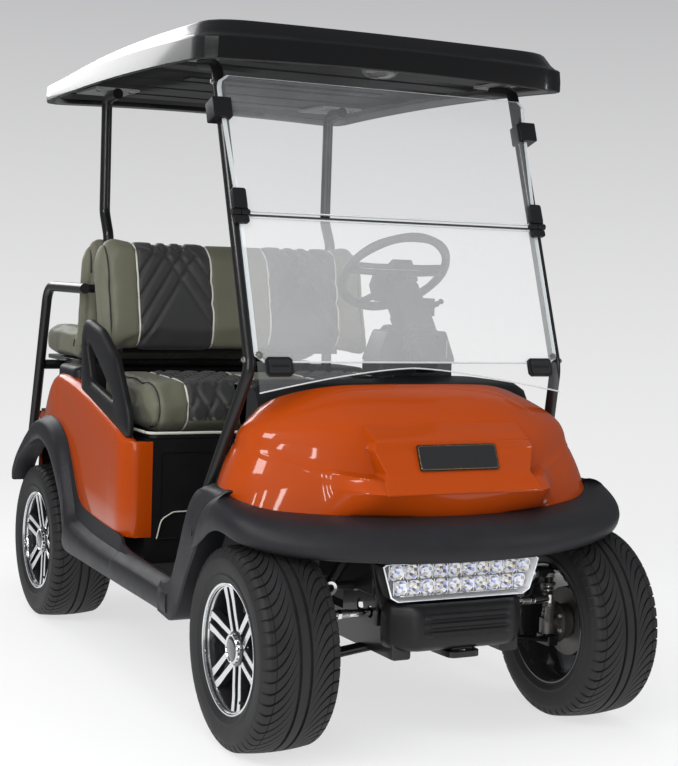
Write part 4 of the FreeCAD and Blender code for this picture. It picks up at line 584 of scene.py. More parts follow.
def add_lamp(name, place, target, size, power, mirrored):
    data = bpy.data.lights.new(name, "AREA")
    data.shape = "RECTANGLE"
    data.size, data.size_y = size
    data.energy = power
    lamp = bpy.data.objects.new(name, data)
    bpy.context.scene.collection.objects.link(lamp)
    lamp.location = place
    lamp.visible_glossy = mirrored
    lamp.rotation_euler = (Vector(target) - Vector(place)).to_track_quat("-Z", "Y").to_euler()


def backdrop_world():
    """A pale sky that lights softly, and shows as a light grey behind the cart."""
    world = bpy.data.worlds.new("studio")
    bpy.context.scene.world = world
    world.use_nodes = True
    world.node_tree.nodes.clear()
    sky = Tree(world.node_tree)
    height = sky.add("ShaderNodeSeparateXYZ", None, {0: sky.add("ShaderNodeTexCoord")["Generated"]})["Z"]
    rise = sky.add("ShaderNodeMapRange", None, {"Value": height, "From Min": -0.2, "From Max": 0.17})[0]
    seen = sky.add("ShaderNodeMix", {"data_type": "RGBA"},
                   {0: rise.math("POWER", rise, 1.6), 6: (0.88, 0.88, 0.88, 1.0), 7: (0.52, 0.52, 0.53, 1.0)})[2]
    shown, lit, mirrored = (sky.add("ShaderNodeBackground", None, inputs)[0] for inputs in (
        {"Color": seen}, {"Color": (0.95, 0.97, 1.0, 1.0), "Strength": 0.45}, {"Color": (0.16, 0.165, 0.17, 1.0)}))
    path = sky.add("ShaderNodeLightPath")
    soft = sky.add("ShaderNodeMixShader", None, {0: path["Is Glossy Ray"], 1: lit, 2: mirrored})[0]
    pick = sky.add("ShaderNodeMixShader", None, {0: path["Is Camera Ray"], 1: soft, 2: shown})[0]
    sky.add("ShaderNodeOutputWorld", None, {"Surface": pick})


def build_stage():
    scene = bpy.context.scene
    scene.view_settings.view_transform = "Standard"
    set_camera()
    backdrop_world()
    mesh = bpy.data.meshes.new("floor")
    mesh.from_pydata([(x * FLOOR_REACH, y * FLOOR_REACH, 0) for x, y in ((-1, -1), (1, -1), (1, 1), (-1, 1))],
                     [], [(0, 1, 2, 3)])
    floor = bpy.data.objects.new("floor", mesh)
    scene.collection.objects.link(floor)
    made = Material("floor_white")
    split = made.add("ShaderNodeSeparateXYZ", None, {0: made.place})
    apart = made.add("ShaderNodeVectorMath", {"operation": "LENGTH"}, {0: made.place})["Value"]
    fade = made.ramp(apart, 1.9, 4.2, 1.0, 0.0)
    made.shade(Base_Color=made.mix(split["Y"].clamped(), (0.22, 0.22, 0.22), (0.2, 0.2, 0.2)), Roughness=0.9,
               Specular_IOR_Level=0.1, Alpha=fade, Emission_Color=(0.9, 0.9, 0.9), Emission_Strength=0.72)
    made.material.surface_render_method = "DITHERED"
    floor.data.materials.append(made.material)
    for name, place, target, size, power, mirrored in LAMPS:
        add_lamp(name, place, target, size, power, mirrored)


# Tyres: a grid whose rows follow the slanted tread cuts, so that each cut has straight walls
TYRE_PITCHES = 54
TREAD_HALF = 0.088
GROOVE_EDGES = metres(10.2, 11.2, 17.6, 18.6)
CUT_START = 0.021
ROW_SHARES = (0.0, 0.15, 0.29, 0.37, 0.4, 0.57, 0.6, 0.72, 0.86)
CUT_ROWS = (4, 5)
CUT_CENTER_SHARE = 0.485
CUT_SWEEP = 0.085


def crown_radius(across):
    return AXLE_Z - 0.0065 * (across / TREAD_HALF) ** 2


def tyre_half_outline():
    """(across, radius, cut depth share) from the middle of the tread to the bead."""
    spots = [0.0, *GROOVE_EDGES, 0.021, 0.025, 0.03, 0.036, 0.043, 0.05, 0.057, 0.064, 0.07, 0.0736, 0.0742,
             0.0752, 0.0758, 0.08, 0.0845, TREAD_HALF]
    outline = []
    for across in spots:
        share = min(max((across - CUT_START) / 0.012, 0.0), 1.0)
        outline.append((across, crown_radius(across), share))
    outline += [(0.0925, 0.2508, 1.0), (0.0965, 0.2462, 0.9), (0.0997, 0.2405, 0.7), (0.1015, 0.235, 0.4),
                (0.1022, 0.2318, 0.0), (0.104, 0.229, 0.0), (0.1046, 0.224, 0.0), (0.1044, 0.212, 0.0),
                (0.1034, 0.201, 0.0), (0.1016, 0.1915, 0.0), (0.1014, 0.1885, 0.0), (0.103, 0.1855, 0.0),
                (0.1028, 0.1825, 0.0), (0.0998, 0.177, 0.0), (0.0968, 0.172, 0.0), (0.0945, 0.1665, 0.0),
                (0.0925, 0.16, 0.0)]
    return outline


def tyre_rows(depth):
    """Rows of the tyre's grid, all the way round."""
    half = tyre_half_outline()
    outline = [(-across, radius, share) for across, radius, share in reversed(half[1:])] + half
    rows = []
    for pitch in range(TYRE_PITCHES):
        for index, row_share in enumerate(ROW_SHARES):
            row = []
            for across, radius, cut in outline:
                size = abs(across)
                reach = min(max((size - CUT_START) / (TREAD_HALF - CUT_START), 0.0), 1.0)
                narrow = 0.12 + 0.88 * min(max((size - CUT_START) / 0.03, 0.0), 1.0)
                share = CUT_CENTER_SHARE + (row_share - CUT_CENTER_SHARE) * (narrow if index in range(3, 7) else 1.0)
                sweep = CUT_SWEEP * (1.0 - (1.0 - reach) ** 2) * (1 if across > 0 else -1)
                angle = math.tau * (pitch + share) / TYRE_PITCHES + sweep / AXLE_Z
                drop = depth * cut if index in CUT_ROWS else 0.0
                if GROOVE_EDGES[0] < size < GROOVE_EDGES[3]:
                    drop = depth * 1.15
                if 0.0739 < size < 0.0755:
                    drop = max(drop, depth * 0.35)
                row.append((across, (radius - drop) * math.sin(angle), (radius - drop) * math.cos(angle)))
            rows.append(row)
    return rows


def wheel_place(end, side):
    """Hub place of a wheel, and which way its outer face looks."""
    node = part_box("wheel_" + end + "_" + ("left" if side > 0 else "right"))
    middle = (node[0][0] + node[1][0]) / 2
    y = AXLE_FRONT_Y if end == "front" else AXLE_REAR_Y
    turn = Matrix.Identity(4) if side > 0 else Matrix.Rotation(math.pi, 4, "Z")
    return Matrix.Translation((middle, y, AXLE_Z)) @ turn


def build_tyres(sizes):
    rows = tyre_rows(sizes.tread_depth)
    for end in ("front", "rear"):
        for word, side in SIDES:
            shape = Shape()
            shape.grid(rows, "tyre", closed_rows=True, place=wheel_place(end, side))
            tag = end + "_" + word
            shape.made("tread_" + tag, ("tyre_" + tag,), "tyre_rubber", "wheel_" + tag + "_body", angle=28.0)


# Wheels: black barrel, machined lip, six pairs of spokes, plain cap
SPOKE_PAIRS = 6
SPOKE_HALF_WIDTH = 0.0082
SPOKE_OFFSET = 0.0178
SPOKE_FACE = 0.079
SPOKE_DEPTH = 0.02
LIP_RADIUS = 0.1655
HUB_RADIUS = 0.046


def spoke_bar(shape, offset, place):
    """One bar of a pair: a slightly dished face with chamfered edges, machined on top, black at the sides."""
    stations = (0.018, 0.05, 0.085, 0.12, 0.148, 0.1585)
    dish = (0.01, 0.0075, 0.004, 0.0012, -0.003, -0.006)
    flare = (0.92, 0.92, 0.96, 1.05, 1.2, 1.45)
    edge = 0.0011
    rows = []
    for reach, drop, wide in zip(stations, dish, flare):
        half = SPOKE_HALF_WIDTH * wide
        face = SPOKE_FACE - drop
        rows.append([(face - SPOKE_DEPTH, offset - half * 1.15, reach), (face - edge, offset - half, reach),
                     (face, offset - half + edge, reach), (face, offset + half - edge, reach),
                     (face - edge, offset + half, reach), (face - SPOKE_DEPTH, offset + half * 1.15, reach)])
    shape.grid(rows, "gloss", place=place,
               pick=lambda i, j: "machined" if j in (1, 2, 3) else "wheel_black")


def build_wheel(tag, place):
    """Lip, barrel, six pairs of spokes, nuts, hub, plain cap, brake drum and valve."""
    shape = Shape()
    face = SPOKE_FACE
    lip = [(0.0905, 0.1585), (0.0935, 0.159), (0.0952, 0.1612), (0.0955, 0.164), (0.094, LIP_RADIUS),
           (0.0905, LIP_RADIUS), (0.09, 0.156)]
    shape.lathe(lip, 160, "machined", place)
    ring = metres((90.5, 158.5), (87, 157), (84.8, 156), (83.8, 153.5), (80, 152))
    shape.lathe(ring, 160, "machined", place, pick=lambda i, j: "machined" if j > 1 else "wheel_black")
    barrel = [(0.08, 0.152), (0.064, 0.1478), (0.02, 0.144), (-0.05, 0.14), (-0.08, 0.148),
              (-0.092, 0.156), (-0.0955, 0.162), (-0.095, LIP_RADIUS), (-0.09, LIP_RADIUS), (-0.088, 0.158)]
    shape.lathe(barrel, 160, "wheel_black", place)
    for pair in range(SPOKE_PAIRS):
        turn = place @ Matrix.Rotation(math.tau * pair / SPOKE_PAIRS, 4, "X")
        for offset in (-SPOKE_OFFSET, SPOKE_OFFSET):
            spoke_bar(shape, offset, turn)
        web = [(face - 0.018, -SPOKE_OFFSET, 0.02), (face - 0.018, SPOKE_OFFSET, 0.02),
               (face - 0.014, SPOKE_OFFSET, 0.154), (face - 0.014, -SPOKE_OFFSET, 0.154)]
        under = [(x - 0.006, y, z) for x, y, z in web]
        shape.add(web + under, [(0, 1, 2, 3), (7, 6, 5, 4)], "wheel_black", turn)
        nut_turn = Matrix.Rotation(math.tau * (pair + 0.5) / SPOKE_PAIRS, 4, "X")
        spot = place @ nut_turn @ facing((face - 0.03, 0.0, 0.058), (1.0, 0.0, 0.0))
        shape.prism(circle(0.0105, 20), -0.004, 0.003, "wheel_black", spot)
        shape.prism(circle(0.0078, 6), 0.003, 0.017, "chrome", spot)
    hub = ((-0.045, 0.088), (-0.033, 0.082), (-0.028, 0.06), (-0.014, HUB_RADIUS), (-0.006, HUB_RADIUS - 0.002),
           (-0.0045, HUB_RADIUS - 0.006), (-0.0045, 0.03))
    cap_ring = metres((-4.5, 37.5), (3, 37.2), (5.5, 35.5), (5.5, 32.5), (3.5, 31.2))
    cap = metres((3.5, 31.2), (4.8, 29.5), (6.2, 22), (7.2, 10), (7.4, 0.5))
    for outline, finish in ((hub, "wheel_black"), (cap_ring, "chrome"), (cap, "gloss")):
        shape.lathe([(face + along, radius) for along, radius in outline], 96, finish, place)
    shape.lathe(metres((-30, 20), (-30, 94), (12, 98), (24, 90), (26, 20)), 64, "cast", place)
    stem = place @ Matrix.Rotation(math.radians(205), 4, "X")
    shape.tube([(0.072, 0, 0.151), (0.086, 0, 0.146), (0.096, 0, 0.142)], 0.004, "tyre", 10, stem)
    shape.made("rim_" + tag, ("wheel_" + tag,), "wheel_metal", "wheel_" + tag + "_body", angle=30.0)


def build_wheels():
    for end in ("front", "rear"):
        for word, side in SIDES:
            build_wheel(end + "_" + word, wheel_place(end, side) @ Matrix.Rotation(math.radians(13), 4, "X"))


def read_at(table, y):
    """A value from a table of (y, value) pairs, straight between them."""
    if y <= table[0][0]:
        return table[0][1]
    for (y0, v0), (y1, v1) in zip(table, table[1:]):
        if y <= y1:
            return v0 + (v1 - v0) * (y - y0) / (y1 - y0)
    return table[-1][1]


def curve_through(points, count):
    """Points on a smooth curve that passes through the given ones, ends included."""
    line = [Vector(point) for point in points]
    line = [line[0] * 2 - line[1], *line, line[-1] * 2 - line[-2]]
    path = []
    runs = len(line) - 3
    for step in range(count):
        along = step / (count - 1) * runs
        index = min(int(along), runs - 1)
        share = along - index
        a, b, c, d = line[index:index + 4]
        path.append(0.5 * (2 * b + (c - a) * share + (2 * a - 5 * b + 4 * c - d) * share ** 2
                           + (3 * b - a - 3 * c + d) * share ** 3))
    return path


def both_halves(rows):
    """Rows drawn for the left half, from the middle outwards, made whole by mirroring."""
    return [[Vector((-p[0], p[1], p[2])) for p in reversed(row[1:])] + list(row) for row in rows]


# Nose: bottom edge, crease, virtual top and rear edge of the dome, each from the middle to the left side
COWL_FOOT = metres((0, -1160, 596), (120, -1148, 596), (235, -1115, 596), (330, -1071, 596), (438, -1022, 603),
                   (515, -968, 614), (545, -912, 630), (542, -862, 641), (525, -800, 645))
COWL_CREASE = metres((0, -1103, 688), (120, -1102, 688), (235, -1090, 688), (325, -1054, 697), (402, -1004, 716),
                     (465, -950, 738), (490, -895, 752), (492, -845, 759), (473, -795, 762))
COWL_SUMMIT = metres((0, -775, 932), (115, -775, 932), (225, -775, 924), (300, -778, 903), (355, -782, 880),
                     (392, -788, 856), (420, -793, 832), (440, -797, 808), (455, -800, 786))
COWL_TURN = (66.0, 66.0, 68.0, 72.0, 76.0, 80.0, 84.0, 88.0, 90.0)
COWL_LEDGE = metres(6, 6, 8, 13, 14, 9, 3, 0, 0)
BADGE_HALF = 0.226
LIP_SHARE = 0.685
LIP_Y = -1.186
LIP_REACH = 0.335
LOWER_SHARES = (0.0, 0.08, 0.25, 0.45, 0.6, LIP_SHARE, 0.7, 0.85)


def cowl_profile(column):
    """One upright line of the dome, from its foot over the crease to the rear edge."""
    foot, low, top = (Vector(row[column]) for row in (COWL_FOOT, COWL_CREASE, COWL_SUMMIT))
    turn, ledge = math.radians(COWL_TURN[column]), COWL_LEDGE[column]
    out = Vector((low.x - top.x, low.y - top.y, 0)).normalized()
    line = [foot.lerp(low, share) + out * 0.005 * math.sin(math.pi * share) for share in LOWER_SHARES]
    line += [low - Vector((0, 0, 0.006)) + out * 0.002, low + out * 0.0012,
             low + Vector((0, 0, 0.004)) - out * 0.0015,
             low + Vector((0, 0, 0.4 * ledge + 0.008)) - out * (0.5 * ledge + 0.001)]
    for step in range(2, 15):
        angle = turn * step / 14
        fade = max(0.0, 1.0 - step / 6)
        spot = low.lerp(top, 1 - math.cos(angle))
        spot.z = low.z + (top.z - low.z) * math.sin(angle)
        line.append(spot - out * ledge * fade)
    return line


def cowl_rows():
    """Rows across the dome; those below its crease are drawn out to a lip in the middle."""
    columns = [cowl_profile(column) for column in range(len(COWL_FOOT))]
    rows = [curve_through([line[index] for line in columns], 33) for index in range(len(columns[0]))]
    for share, row in zip((*LOWER_SHARES, 0.94, 1.0, 1.0), rows):
        for point, foot in zip(row, rows[0]):
            ease = min(1.0, max(0.0, (LIP_REACH - point.x) / 0.1))
            rise = (share / LIP_SHARE) ** 0.75 if share < LIP_SHARE else 1.0
            wanted = foot.y + (LIP_Y - foot.y) * rise + max(0.0, share - LIP_SHARE) * 0.13
            point.y += (wanted - point.y) * ease * ease * (3 - 2 * ease)
    return both_halves(rows)


def build_cowl():
    """Orange dome with its waist crease, and the proud box in the middle for the plate."""
    skin = Shape()
    rows = cowl_rows()
    lip = [[p + Vector((-0.012 * p.x, 0.012, 0)) for p in rows[0]]]
    edge = rows[-1]
    rim = [[p + Vector((0, 0.003, -0.004)) for p in edge], [p + Vector((0, 0.002, -0.016)) for p in edge]]
    skin.grid(lip + rows + rim, "orange")
    skin.made("cowl", ("front_cowl",), "orange_paint", angle=38.0)
    badge = Shape()
    half = BADGE_HALF
    across = (-half, -half * 0.5, 0, half * 0.5, half)
    top = [[Vector((x, y, z)) for x in across] for y, z in ((-1.1135, 0.7805), (-1.112, 0.783))]
    for step in range(1, 9):
        share = step / 8
        row = []
        for x in across:
            bulge = (1 - (x / half) ** 2) * 0.016 * share
            z = 0.783 + (0.829 - 0.783) * share ** 0.92 + bulge - (0.004 if abs(x) < half else 0) * share
            row.append(Vector((x * (1 + 0.03 * share), -1.112 + (-1.018 + 1.112) * share, z)))
        top.append(row)
    badge.grid(top, "orange")
    inner = metres((226, -1113.5, 780.5), (234.5, -1117.5, 762), (233, -1119.5, 757), (212, -1147.5, 703.5),
                   (215, -1154, 696), (229, -1185.5, 662.5), (230, -1188, 659), (230, -1186, 655))
    front = [[Vector((a * x, y, z)) for a in (-1, -0.5, 0, 0.5, 1)] for x, y, z in inner]
    badge.grid(front, "orange")
    back = (-1.06, -1.06, -1.07, -1.06, -1.06, -1.08, -1.08, -1.08)
    for side, end in ((-1, 0), (1, -1)):
        wall = [[Vector((side * x, y, z)), Vector((side * (x + 0.004), (y + by) / 2, z)),
                 Vector((side * (x + 0.002), by, z))] for (x, y, z), by in zip(inner, back)]
        badge.grid(wall, "orange")
        badge.grid([[row[end], row[end] + Vector((side * 0.004, 0.012, -0.05))] for row in top[1:]], "orange")
    badge.made("plate_housing", slot="orange_paint", angle=9.0, bevel=0.0018, segments=3)


def build_plate():
    """Bare black name plate with a thin gold border."""
    shape = Shape()
    low, high = Vector((0, -1.1495, 0.7015)), Vector((0, -1.1135, 0.7805))
    out = (low - high).cross(Vector((1, 0, 0))).normalized()
    out = out if out.y < 0 else -out
    spot = facing(low.lerp(high, 0.5) + out * 0.0006, out)
    for half, tall, base, rise, finish in ((0.117, 0.0345, 0.0, 0.0032, "black"),
                                           (0.1145, 0.032, 0.0032, 0.004, "gold"),
                                           (0.1127, 0.0302, 0.004, 0.0046, "gloss")):
        shape.prism(slab(half, -tall, tall, 0.007), base, rise, finish, spot)
    shape.made("name_plate", ("front_plate",), bevel=0.0006, angle=40.0)


# Bumper: section (out, up) from the top seam round the bullnose to the hidden lower lip
BUMPER_PLAN = metres((0, -1262), (100, -1258), (200, -1245), (300, -1216), (405, -1176), (495, -1128), (566, -1068),
                     (597, -997), (604, -912), (603, -855), (601, -805), (598, -770))
BUMPER_SEAM = metres((0, -1158), (100, -1149), (200, -1126), (300, -1086), (390, -1047), (470, -1002), (526, -952),
                     (546, -900), (548, -850), (548, -815), (548, -790), (548, -770))
BUMPER_TOP = metres(596, 596, 596, 597, 600, 607, 624, 640, 646, 646, 640, 630)
BUMPER_LOW = metres(492, 492, 493, 496, 502, 512, 530, 553, 542, 519, 494, 478)
BUMPER_SECTION = ((0.0, 1.0), (0.1, 1.0), (0.34, 0.965), (0.6, 0.885), (0.81, 0.755), (0.94, 0.58), (1.0, 0.38),
                  (0.99, 0.2), (0.94, 0.06), (0.88, 0.01), (0.78, 0.16), (0.7, 0.36))

FENDER_END = metres((446, -772), (506, -830), (553, -850), (605, -876), (640, -922))


def build_bumper():
    """Thick bullnose bumper and fenders in one moulding, arched over the front wheels."""
    shape = Shape()
    stations = []
    for (x, y), (sx, sy), top, low in zip(BUMPER_PLAN, BUMPER_SEAM, BUMPER_TOP, BUMPER_LOW):
        stations.append([Vector((sx + (x - sx) * out, sy + (y - sy) * out, low + (top - low) * up))
                         for out, up in BUMPER_SECTION])
    for station in stations[8:]:
        for point in station:
            point.y = -0.997 + (point.y + 0.997) * (read_at(FENDER_END, point.z) + 0.997) / 0.227
    rows = [curve_through([line[index] for line in stations], 45) for index in range(len(BUMPER_SECTION))]
    fine = list(zip(*[curve_through([row[k] for row in rows[:-2]], 30) for k in range(len(rows[0]))]))
    fine = [list(row) for row in fine] + rows[-2:]
    shape.grid(both_halves(fine), "trim")
    shape.made("bumper", ("front_bumper",), "charcoal_plastic", angle=55.0)


LAMP_Z = 0.4345
# Finishes for the faces of each chrome cell, in a fixed pattern: plain chrome, painted reflections in blue, gold and
# dark, and painted white highlights in the led finish
PAINTED_GLINT_PATTERN = ("chrome", "spark_blue", "led", "led", "spark_gold", "led", "spark_dark")


def build_lamp():
    """Light bar: chrome cells in two rows behind a clear bevelled lens, in a black frame. The cells' faces carry
    painted reflections and highlights.
    """
    frame_shape, cells, lens = Shape(), Shape(), Shape()
    outline = metres((-186, 386), (186, 386), (206, 398), (231, 478), (222, 484), (-222, 484), (-231, 478),
                     (-206, 398))

    def drawn_in(wide, tall, y):
        return [Vector((x * wide, y, LAMP_Z + (z - LAMP_Z) * tall)) for x, z in outline]

    ring = [at_depth(outline, -1.128), at_depth(outline, -1.1745), drawn_in(0.992, 0.97, -1.1775),
            drawn_in(0.982, 0.95, -1.1765), drawn_in(0.982, 0.95, -1.13)]
    frame_shape.grid(ring, "led", closed_columns=True, pick=lambda i, j: "black_moulding" if i < 1 else "led")
    frame_shape.cap(drawn_in(0.982, 0.95, -1.131), "black")
    for low, high in ((0.403, 0.4395), (0.442, 0.479)):
        half = 0.189 + 0.036 * ((low - 0.386) / 0.098)
        for column in range(10):
            x0, x1 = (-half + 2 * half * column / 10, -half + 2 * half * (column + 1) / 10)
            mid_x, mid_z, wide, tall = (x0 + x1) / 2, (low + high) / 2, (x1 - x0) / 2, (high - low) / 2
            bowl = []
            for depth, share in ((-1.168, 1.0), (-1.1655, 0.93), (-1.155, 0.8), (-1.147, 0.55), (-1.143, 0.24)):
                row = []
                for x, z in circle(1.0, 12):
                    square = 1 / max(abs(x), abs(z))
                    reach = share * (1 + (square - 1) * max(0.0, share - 0.3) / 0.7)
                    row.append(Vector((mid_x + wide * reach * x, depth, mid_z + tall * reach * z)))
                bowl.append(row)
            # Each face of a cell's bowl takes one finish of the pattern, so the chrome carries painted reflections
            # and highlights
            cells.grid(bowl, "chrome", closed_columns=True,
                       pick=lambda i, j, column=column: PAINTED_GLINT_PATTERN[(i * 5 + j * 3 + column) % 7])
            cells.cap(bowl[-1], "led")
            cells.tube([(mid_x, -1.146, mid_z), (mid_x, -1.1535, mid_z)], [0.0045, 0.0032], "led", 8)
            cells.cap([(x0, -1.1672, low), (x0, -1.1672, high), (x0 + 0.0012, -1.168, high),
                       (x0 + 0.0012, -1.168, low)], "led")
    wedge = [[Vector((x, -1.164, 0.397)), Vector((x, -1.1725, 0.3995)), Vector((x, -1.165, 0.4035))]
             for x in [-0.176 + 0.352 * k / 36 + (0.0016 if k % 2 else -0.0016) for k in range(37)]]
    cells.grid(wedge, "chrome")
    pane = [drawn_in(0.985, 0.94, -1.1786), drawn_in(0.975, 0.9, -1.18)]
    lens.grid(pane, "lens", closed_columns=True)
    lens.cap(pane[-1], "lens")
    frame_shape.made("lamp_frame", ("headlamp_housing",), bevel=0.001, angle=35.0)
    cells.made("lamp_cells", angle=25.0)
    lens.made("lamp_lens", ("headlamp_lens",), angle=50.0)


def build_guard():
    """Lower guard: rounded black box with three horizontal ribs, and the panel behind it."""
    shape = Shape()

    def plan(grow, front):
        return rounded_outline([(-0.2 + grow, -1.116), (-0.198 + grow, -1.15 + grow), (-0.143, front + grow),
                                (0.143, front + grow), (0.198 - grow, -1.15 + grow), (0.2 - grow, -1.116)],
                               [0.0, 0.03, 0.05, 0.05, 0.03, 0.0], 7)

    levels = metres((372.5, 34, -1196), (381.5, 20, -1204), (380, 12, -1208), (374, 6, -1210.5), (364, 2, -1212.5),
                    (350, 0, -1213.5), (296, 0, -1213.5), (278, 2, -1212), (266, 8, -1207), (259.5, 18, -1200),
                    (257, 34, -1188))
    rows = [at_height(plan(grow, front), z) for z, grow, front in levels]
    shape.grid(rows, "black_moulding")
    shape.cap(rows[0], "black_moulding").cap(rows[-1], "black_moulding")
    reach, face_y = 0.128, -1.2132
    for z in (0.352, 0.33, 0.308):
        rows = []
        for k in range(25):
            x = -reach + 2 * reach * k / 24
            lift = 0.005 * min(1.0, (reach - abs(x)) / 0.012) ** 0.5 if abs(x) < reach else 0.0
            rows.append([Vector((x, y, z + dz)) for y, dz in ((face_y, 0.0085), (face_y - lift, 0.0045),
                                                              (face_y - lift, -0.0045), (face_y, -0.0085))])
        shape.grid(rows, "black_moulding")
    shape.made("lower_guard", ("lower_guard",), "black_plastic", angle=50.0)
    panel = Shape()
    outline = metres((-165, 300), (165, 300), (215, 392), (236, 500), (225, 597), (-225, 597), (-236, 500),
                     (-215, 392))
    panel.prism(rounded_outline(outline, 0.02), -1.118, -1.104, "black_moulding", UPRIGHT)
    for side in (-1, 1):
        panel.prism([(side * 0.09, 0.392), (side * 0.222, 0.392), (side * 0.222, 0.59), (side * 0.09, 0.59)][::side],
                    -1.104, -0.8, "black_moulding", UPRIGHT)
    panel.made("nose_liner", ("front_inner_panel",), bevel=0.004)
    tow = Shape()
    tongue = rounded_outline(metres((-52, -1115), (-45, -1205), (45, -1205), (52, -1115)),
                             [0.004, 0.022, 0.022, 0.004], 6)
    tow.prism(tongue, 0.24, 0.256, "satin")
    tow.prism(slab(0.03, -1.19, -1.15, 0.006, top=0.034), 0.256, 0.291, "satin")
    tow.prism([(-0.04, -1.15), (0.04, -1.15), (0.046, -1.108), (-0.046, -1.108)], 0.256, 0.3, "satin")
    for side in (-1, 1):
        tow.prism(slab(0.0265, -0.0395, 0.0395, 0.008), 0.0, 0.006, "mat",
                  facing((side * 0.16, -1.152, 0.274), (0, -1, 0), (0, 0, 1)))
    eye, outer = circle(0.0095, 20, (0.0, -1.1735)), circle(0.019, 20, (0.0, -1.1735))
    rows = [at_height(line, z) for line, z in ((eye, 0.2565), (eye, 0.2585), (outer, 0.2585), (outer, 0.2562))]
    tow.grid(rows, "metal", closed_columns=True)
    tow.made("tow_bracket", ("tow_bracket",), bevel=0.0015)


ROOF_FRONT_Y = -0.7385
ROOF_REAR_Y = 0.732
ROOF_HALF = 0.563


def roof_ring(inset, front_z, rear_z, corner, arch=0.015):
    """One level line round the canopy; it arches along the sides and droops towards the rear."""
    half, front, rear = ROOF_HALF - inset, ROOF_FRONT_Y + inset, ROOF_REAR_Y - inset
    plan = []
    smooth = slab(half, front, rear, corner, 6)
    for index, (x, y) in enumerate(smooth):
        nx, ny = smooth[(index + 1) % len(smooth)]
        steps = max(1, int(math.hypot(nx - x, ny - y) / 0.06))
        plan += [(x + (nx - x) * k / steps, y + (ny - y) * k / steps) for k in range(steps)]
    ring = []
    for x, y in plan:
        back = min(max((y + 0.35) / (ROOF_REAR_Y + 0.35), 0.0), 1.0)
        rise = arch * max(0.0, 1 - (y / 0.72) ** 2) + 0.01 * max(0.0, 1 - (x / 0.5) ** 2) * min(arch, 0.015) / 0.015
        ring.append(Vector((x, y, front_z + (rear_z - front_z) * back ** 1.8 + rise)))
    return ring


def match(ring, count):
    """The ring with its points spread evenly, so that rings of the canopy join point by point."""
    closed = ring + [ring[0]]
    sizes = [0.0]
    for a, b in zip(closed, closed[1:]):
        sizes.append(sizes[-1] + (b - a).length)
    even, index = [], 0
    for step in range(count):
        want = sizes[-1] * step / count
        while sizes[index + 1] < want:
            index += 1
        even.append(closed[index].lerp(closed[index + 1], (want - sizes[index]) / (sizes[index + 1] - sizes[index])))
    return even


def build_roof():
    """Canopy: upright skirt, bead, bevel and a crowned top, with its underside."""
    levels = metres((30, 1762, 1758, 50, 15), (18, 1748, 1747, 55, 15), (6, 1742.5, 1742, 60, 15),
                    (1, 1742.5, 1742, 64, 15), (-1, 1746, 1745, 65, 15), (-1, 1772, 1765, 65, 15),
                    (1, 1801, 1788, 65, 15), (4, 1805.5, 1792.5, 66, 14), (10, 1808.5, 1794, 70, 13),
                    (18, 1819, 1799, 75, 12), (31, 1845, 1808, 80, 9), (37, 1851.5, 1811, 85, 7),
                    (48, 1854.5, 1813, 100, 5), (100, 1857.5, 1817, 120, 4), (200, 1859.5, 1823, 140, 2),
                    (330, 1861, 1828, 160, 1), (450, 1862, 1832, 90, 0))
    loops = [match(roof_ring(*level), 132) for level in levels]
    shape = Shape()
    shape.grid(loops, "canopy", closed_columns=True)
    shape.cap(loops[-1], "canopy")
    shape.made("canopy", ("roof_skin",), "roof_gloss", angle=28.0)
    under = Shape()
    edge = match(roof_ring(0.03, 1.763, 1.759, 0.05, 0.015), 132)
    deep = match(roof_ring(0.05, 1.782, 1.776, 0.04, 0.012), 132)
    under.grid([edge, deep], "liner", closed_columns=True)
    for index in range(12):
        y0, y1 = -0.67 + 1.33 * index / 12, -0.67 + 1.33 * (index + 1) / 12
        z = 1.7835 - 0.004 * (index % 2)
        row = [[Vector((x, y, z)) for x in (-0.505, -0.2, 0.2, 0.505)] for y in (y0, y1)]
        under.grid(row, "liner")
        if index:
            under.grid([[Vector((x, y0, 1.7835)) for x in (-0.505, 0.505)],
                        [Vector((x, y0, 1.7795)) for x in (-0.505, 0.505)]], "liner")
    for x in (-0.409, 0.409):
        under.block((x - 0.075, 0.395, 1.77), (x + 0.075, 0.6, 1.7775), "bracket")
        for bx in (x - 0.055, x + 0.055):
            bolt(under, (bx, 0.43, 1.77), (0, 0, -1))
    for x in (-0.47, 0.47):
        under.block((x - 0.035, -0.6, 1.77), (x + 0.035, -0.43, 1.7775), "bracket")
        bolt(under, (x, -0.46, 1.77), (0, 0, -1))
        bolt(under, (x, -0.57, 1.77), (0, 0, -1))
    under.block((-0.33, -0.05, 1.774), (0.33, 0.02, 1.779), "liner")
    under.made("headliner", ("roof_liner",), angle=30.0)
    lamp = Shape()
    spot = facing((0.0, -0.64, 1.777), (0, 0, -1))
    lamp.prism(circle(0.058, 32), 0.0, 0.008, "black_moulding", spot)
    dome = [(0.052 * share, z) for share, z in ((1, 0.008), (0.96, 0.017), (0.8, 0.026), (0.5, 0.032), (0.1, 0.034))]
    lamp.grid(rings(dome, 32), "smoke", closed_columns=True, place=spot)
    lamp.made("dome_lamp", angle=40.0)


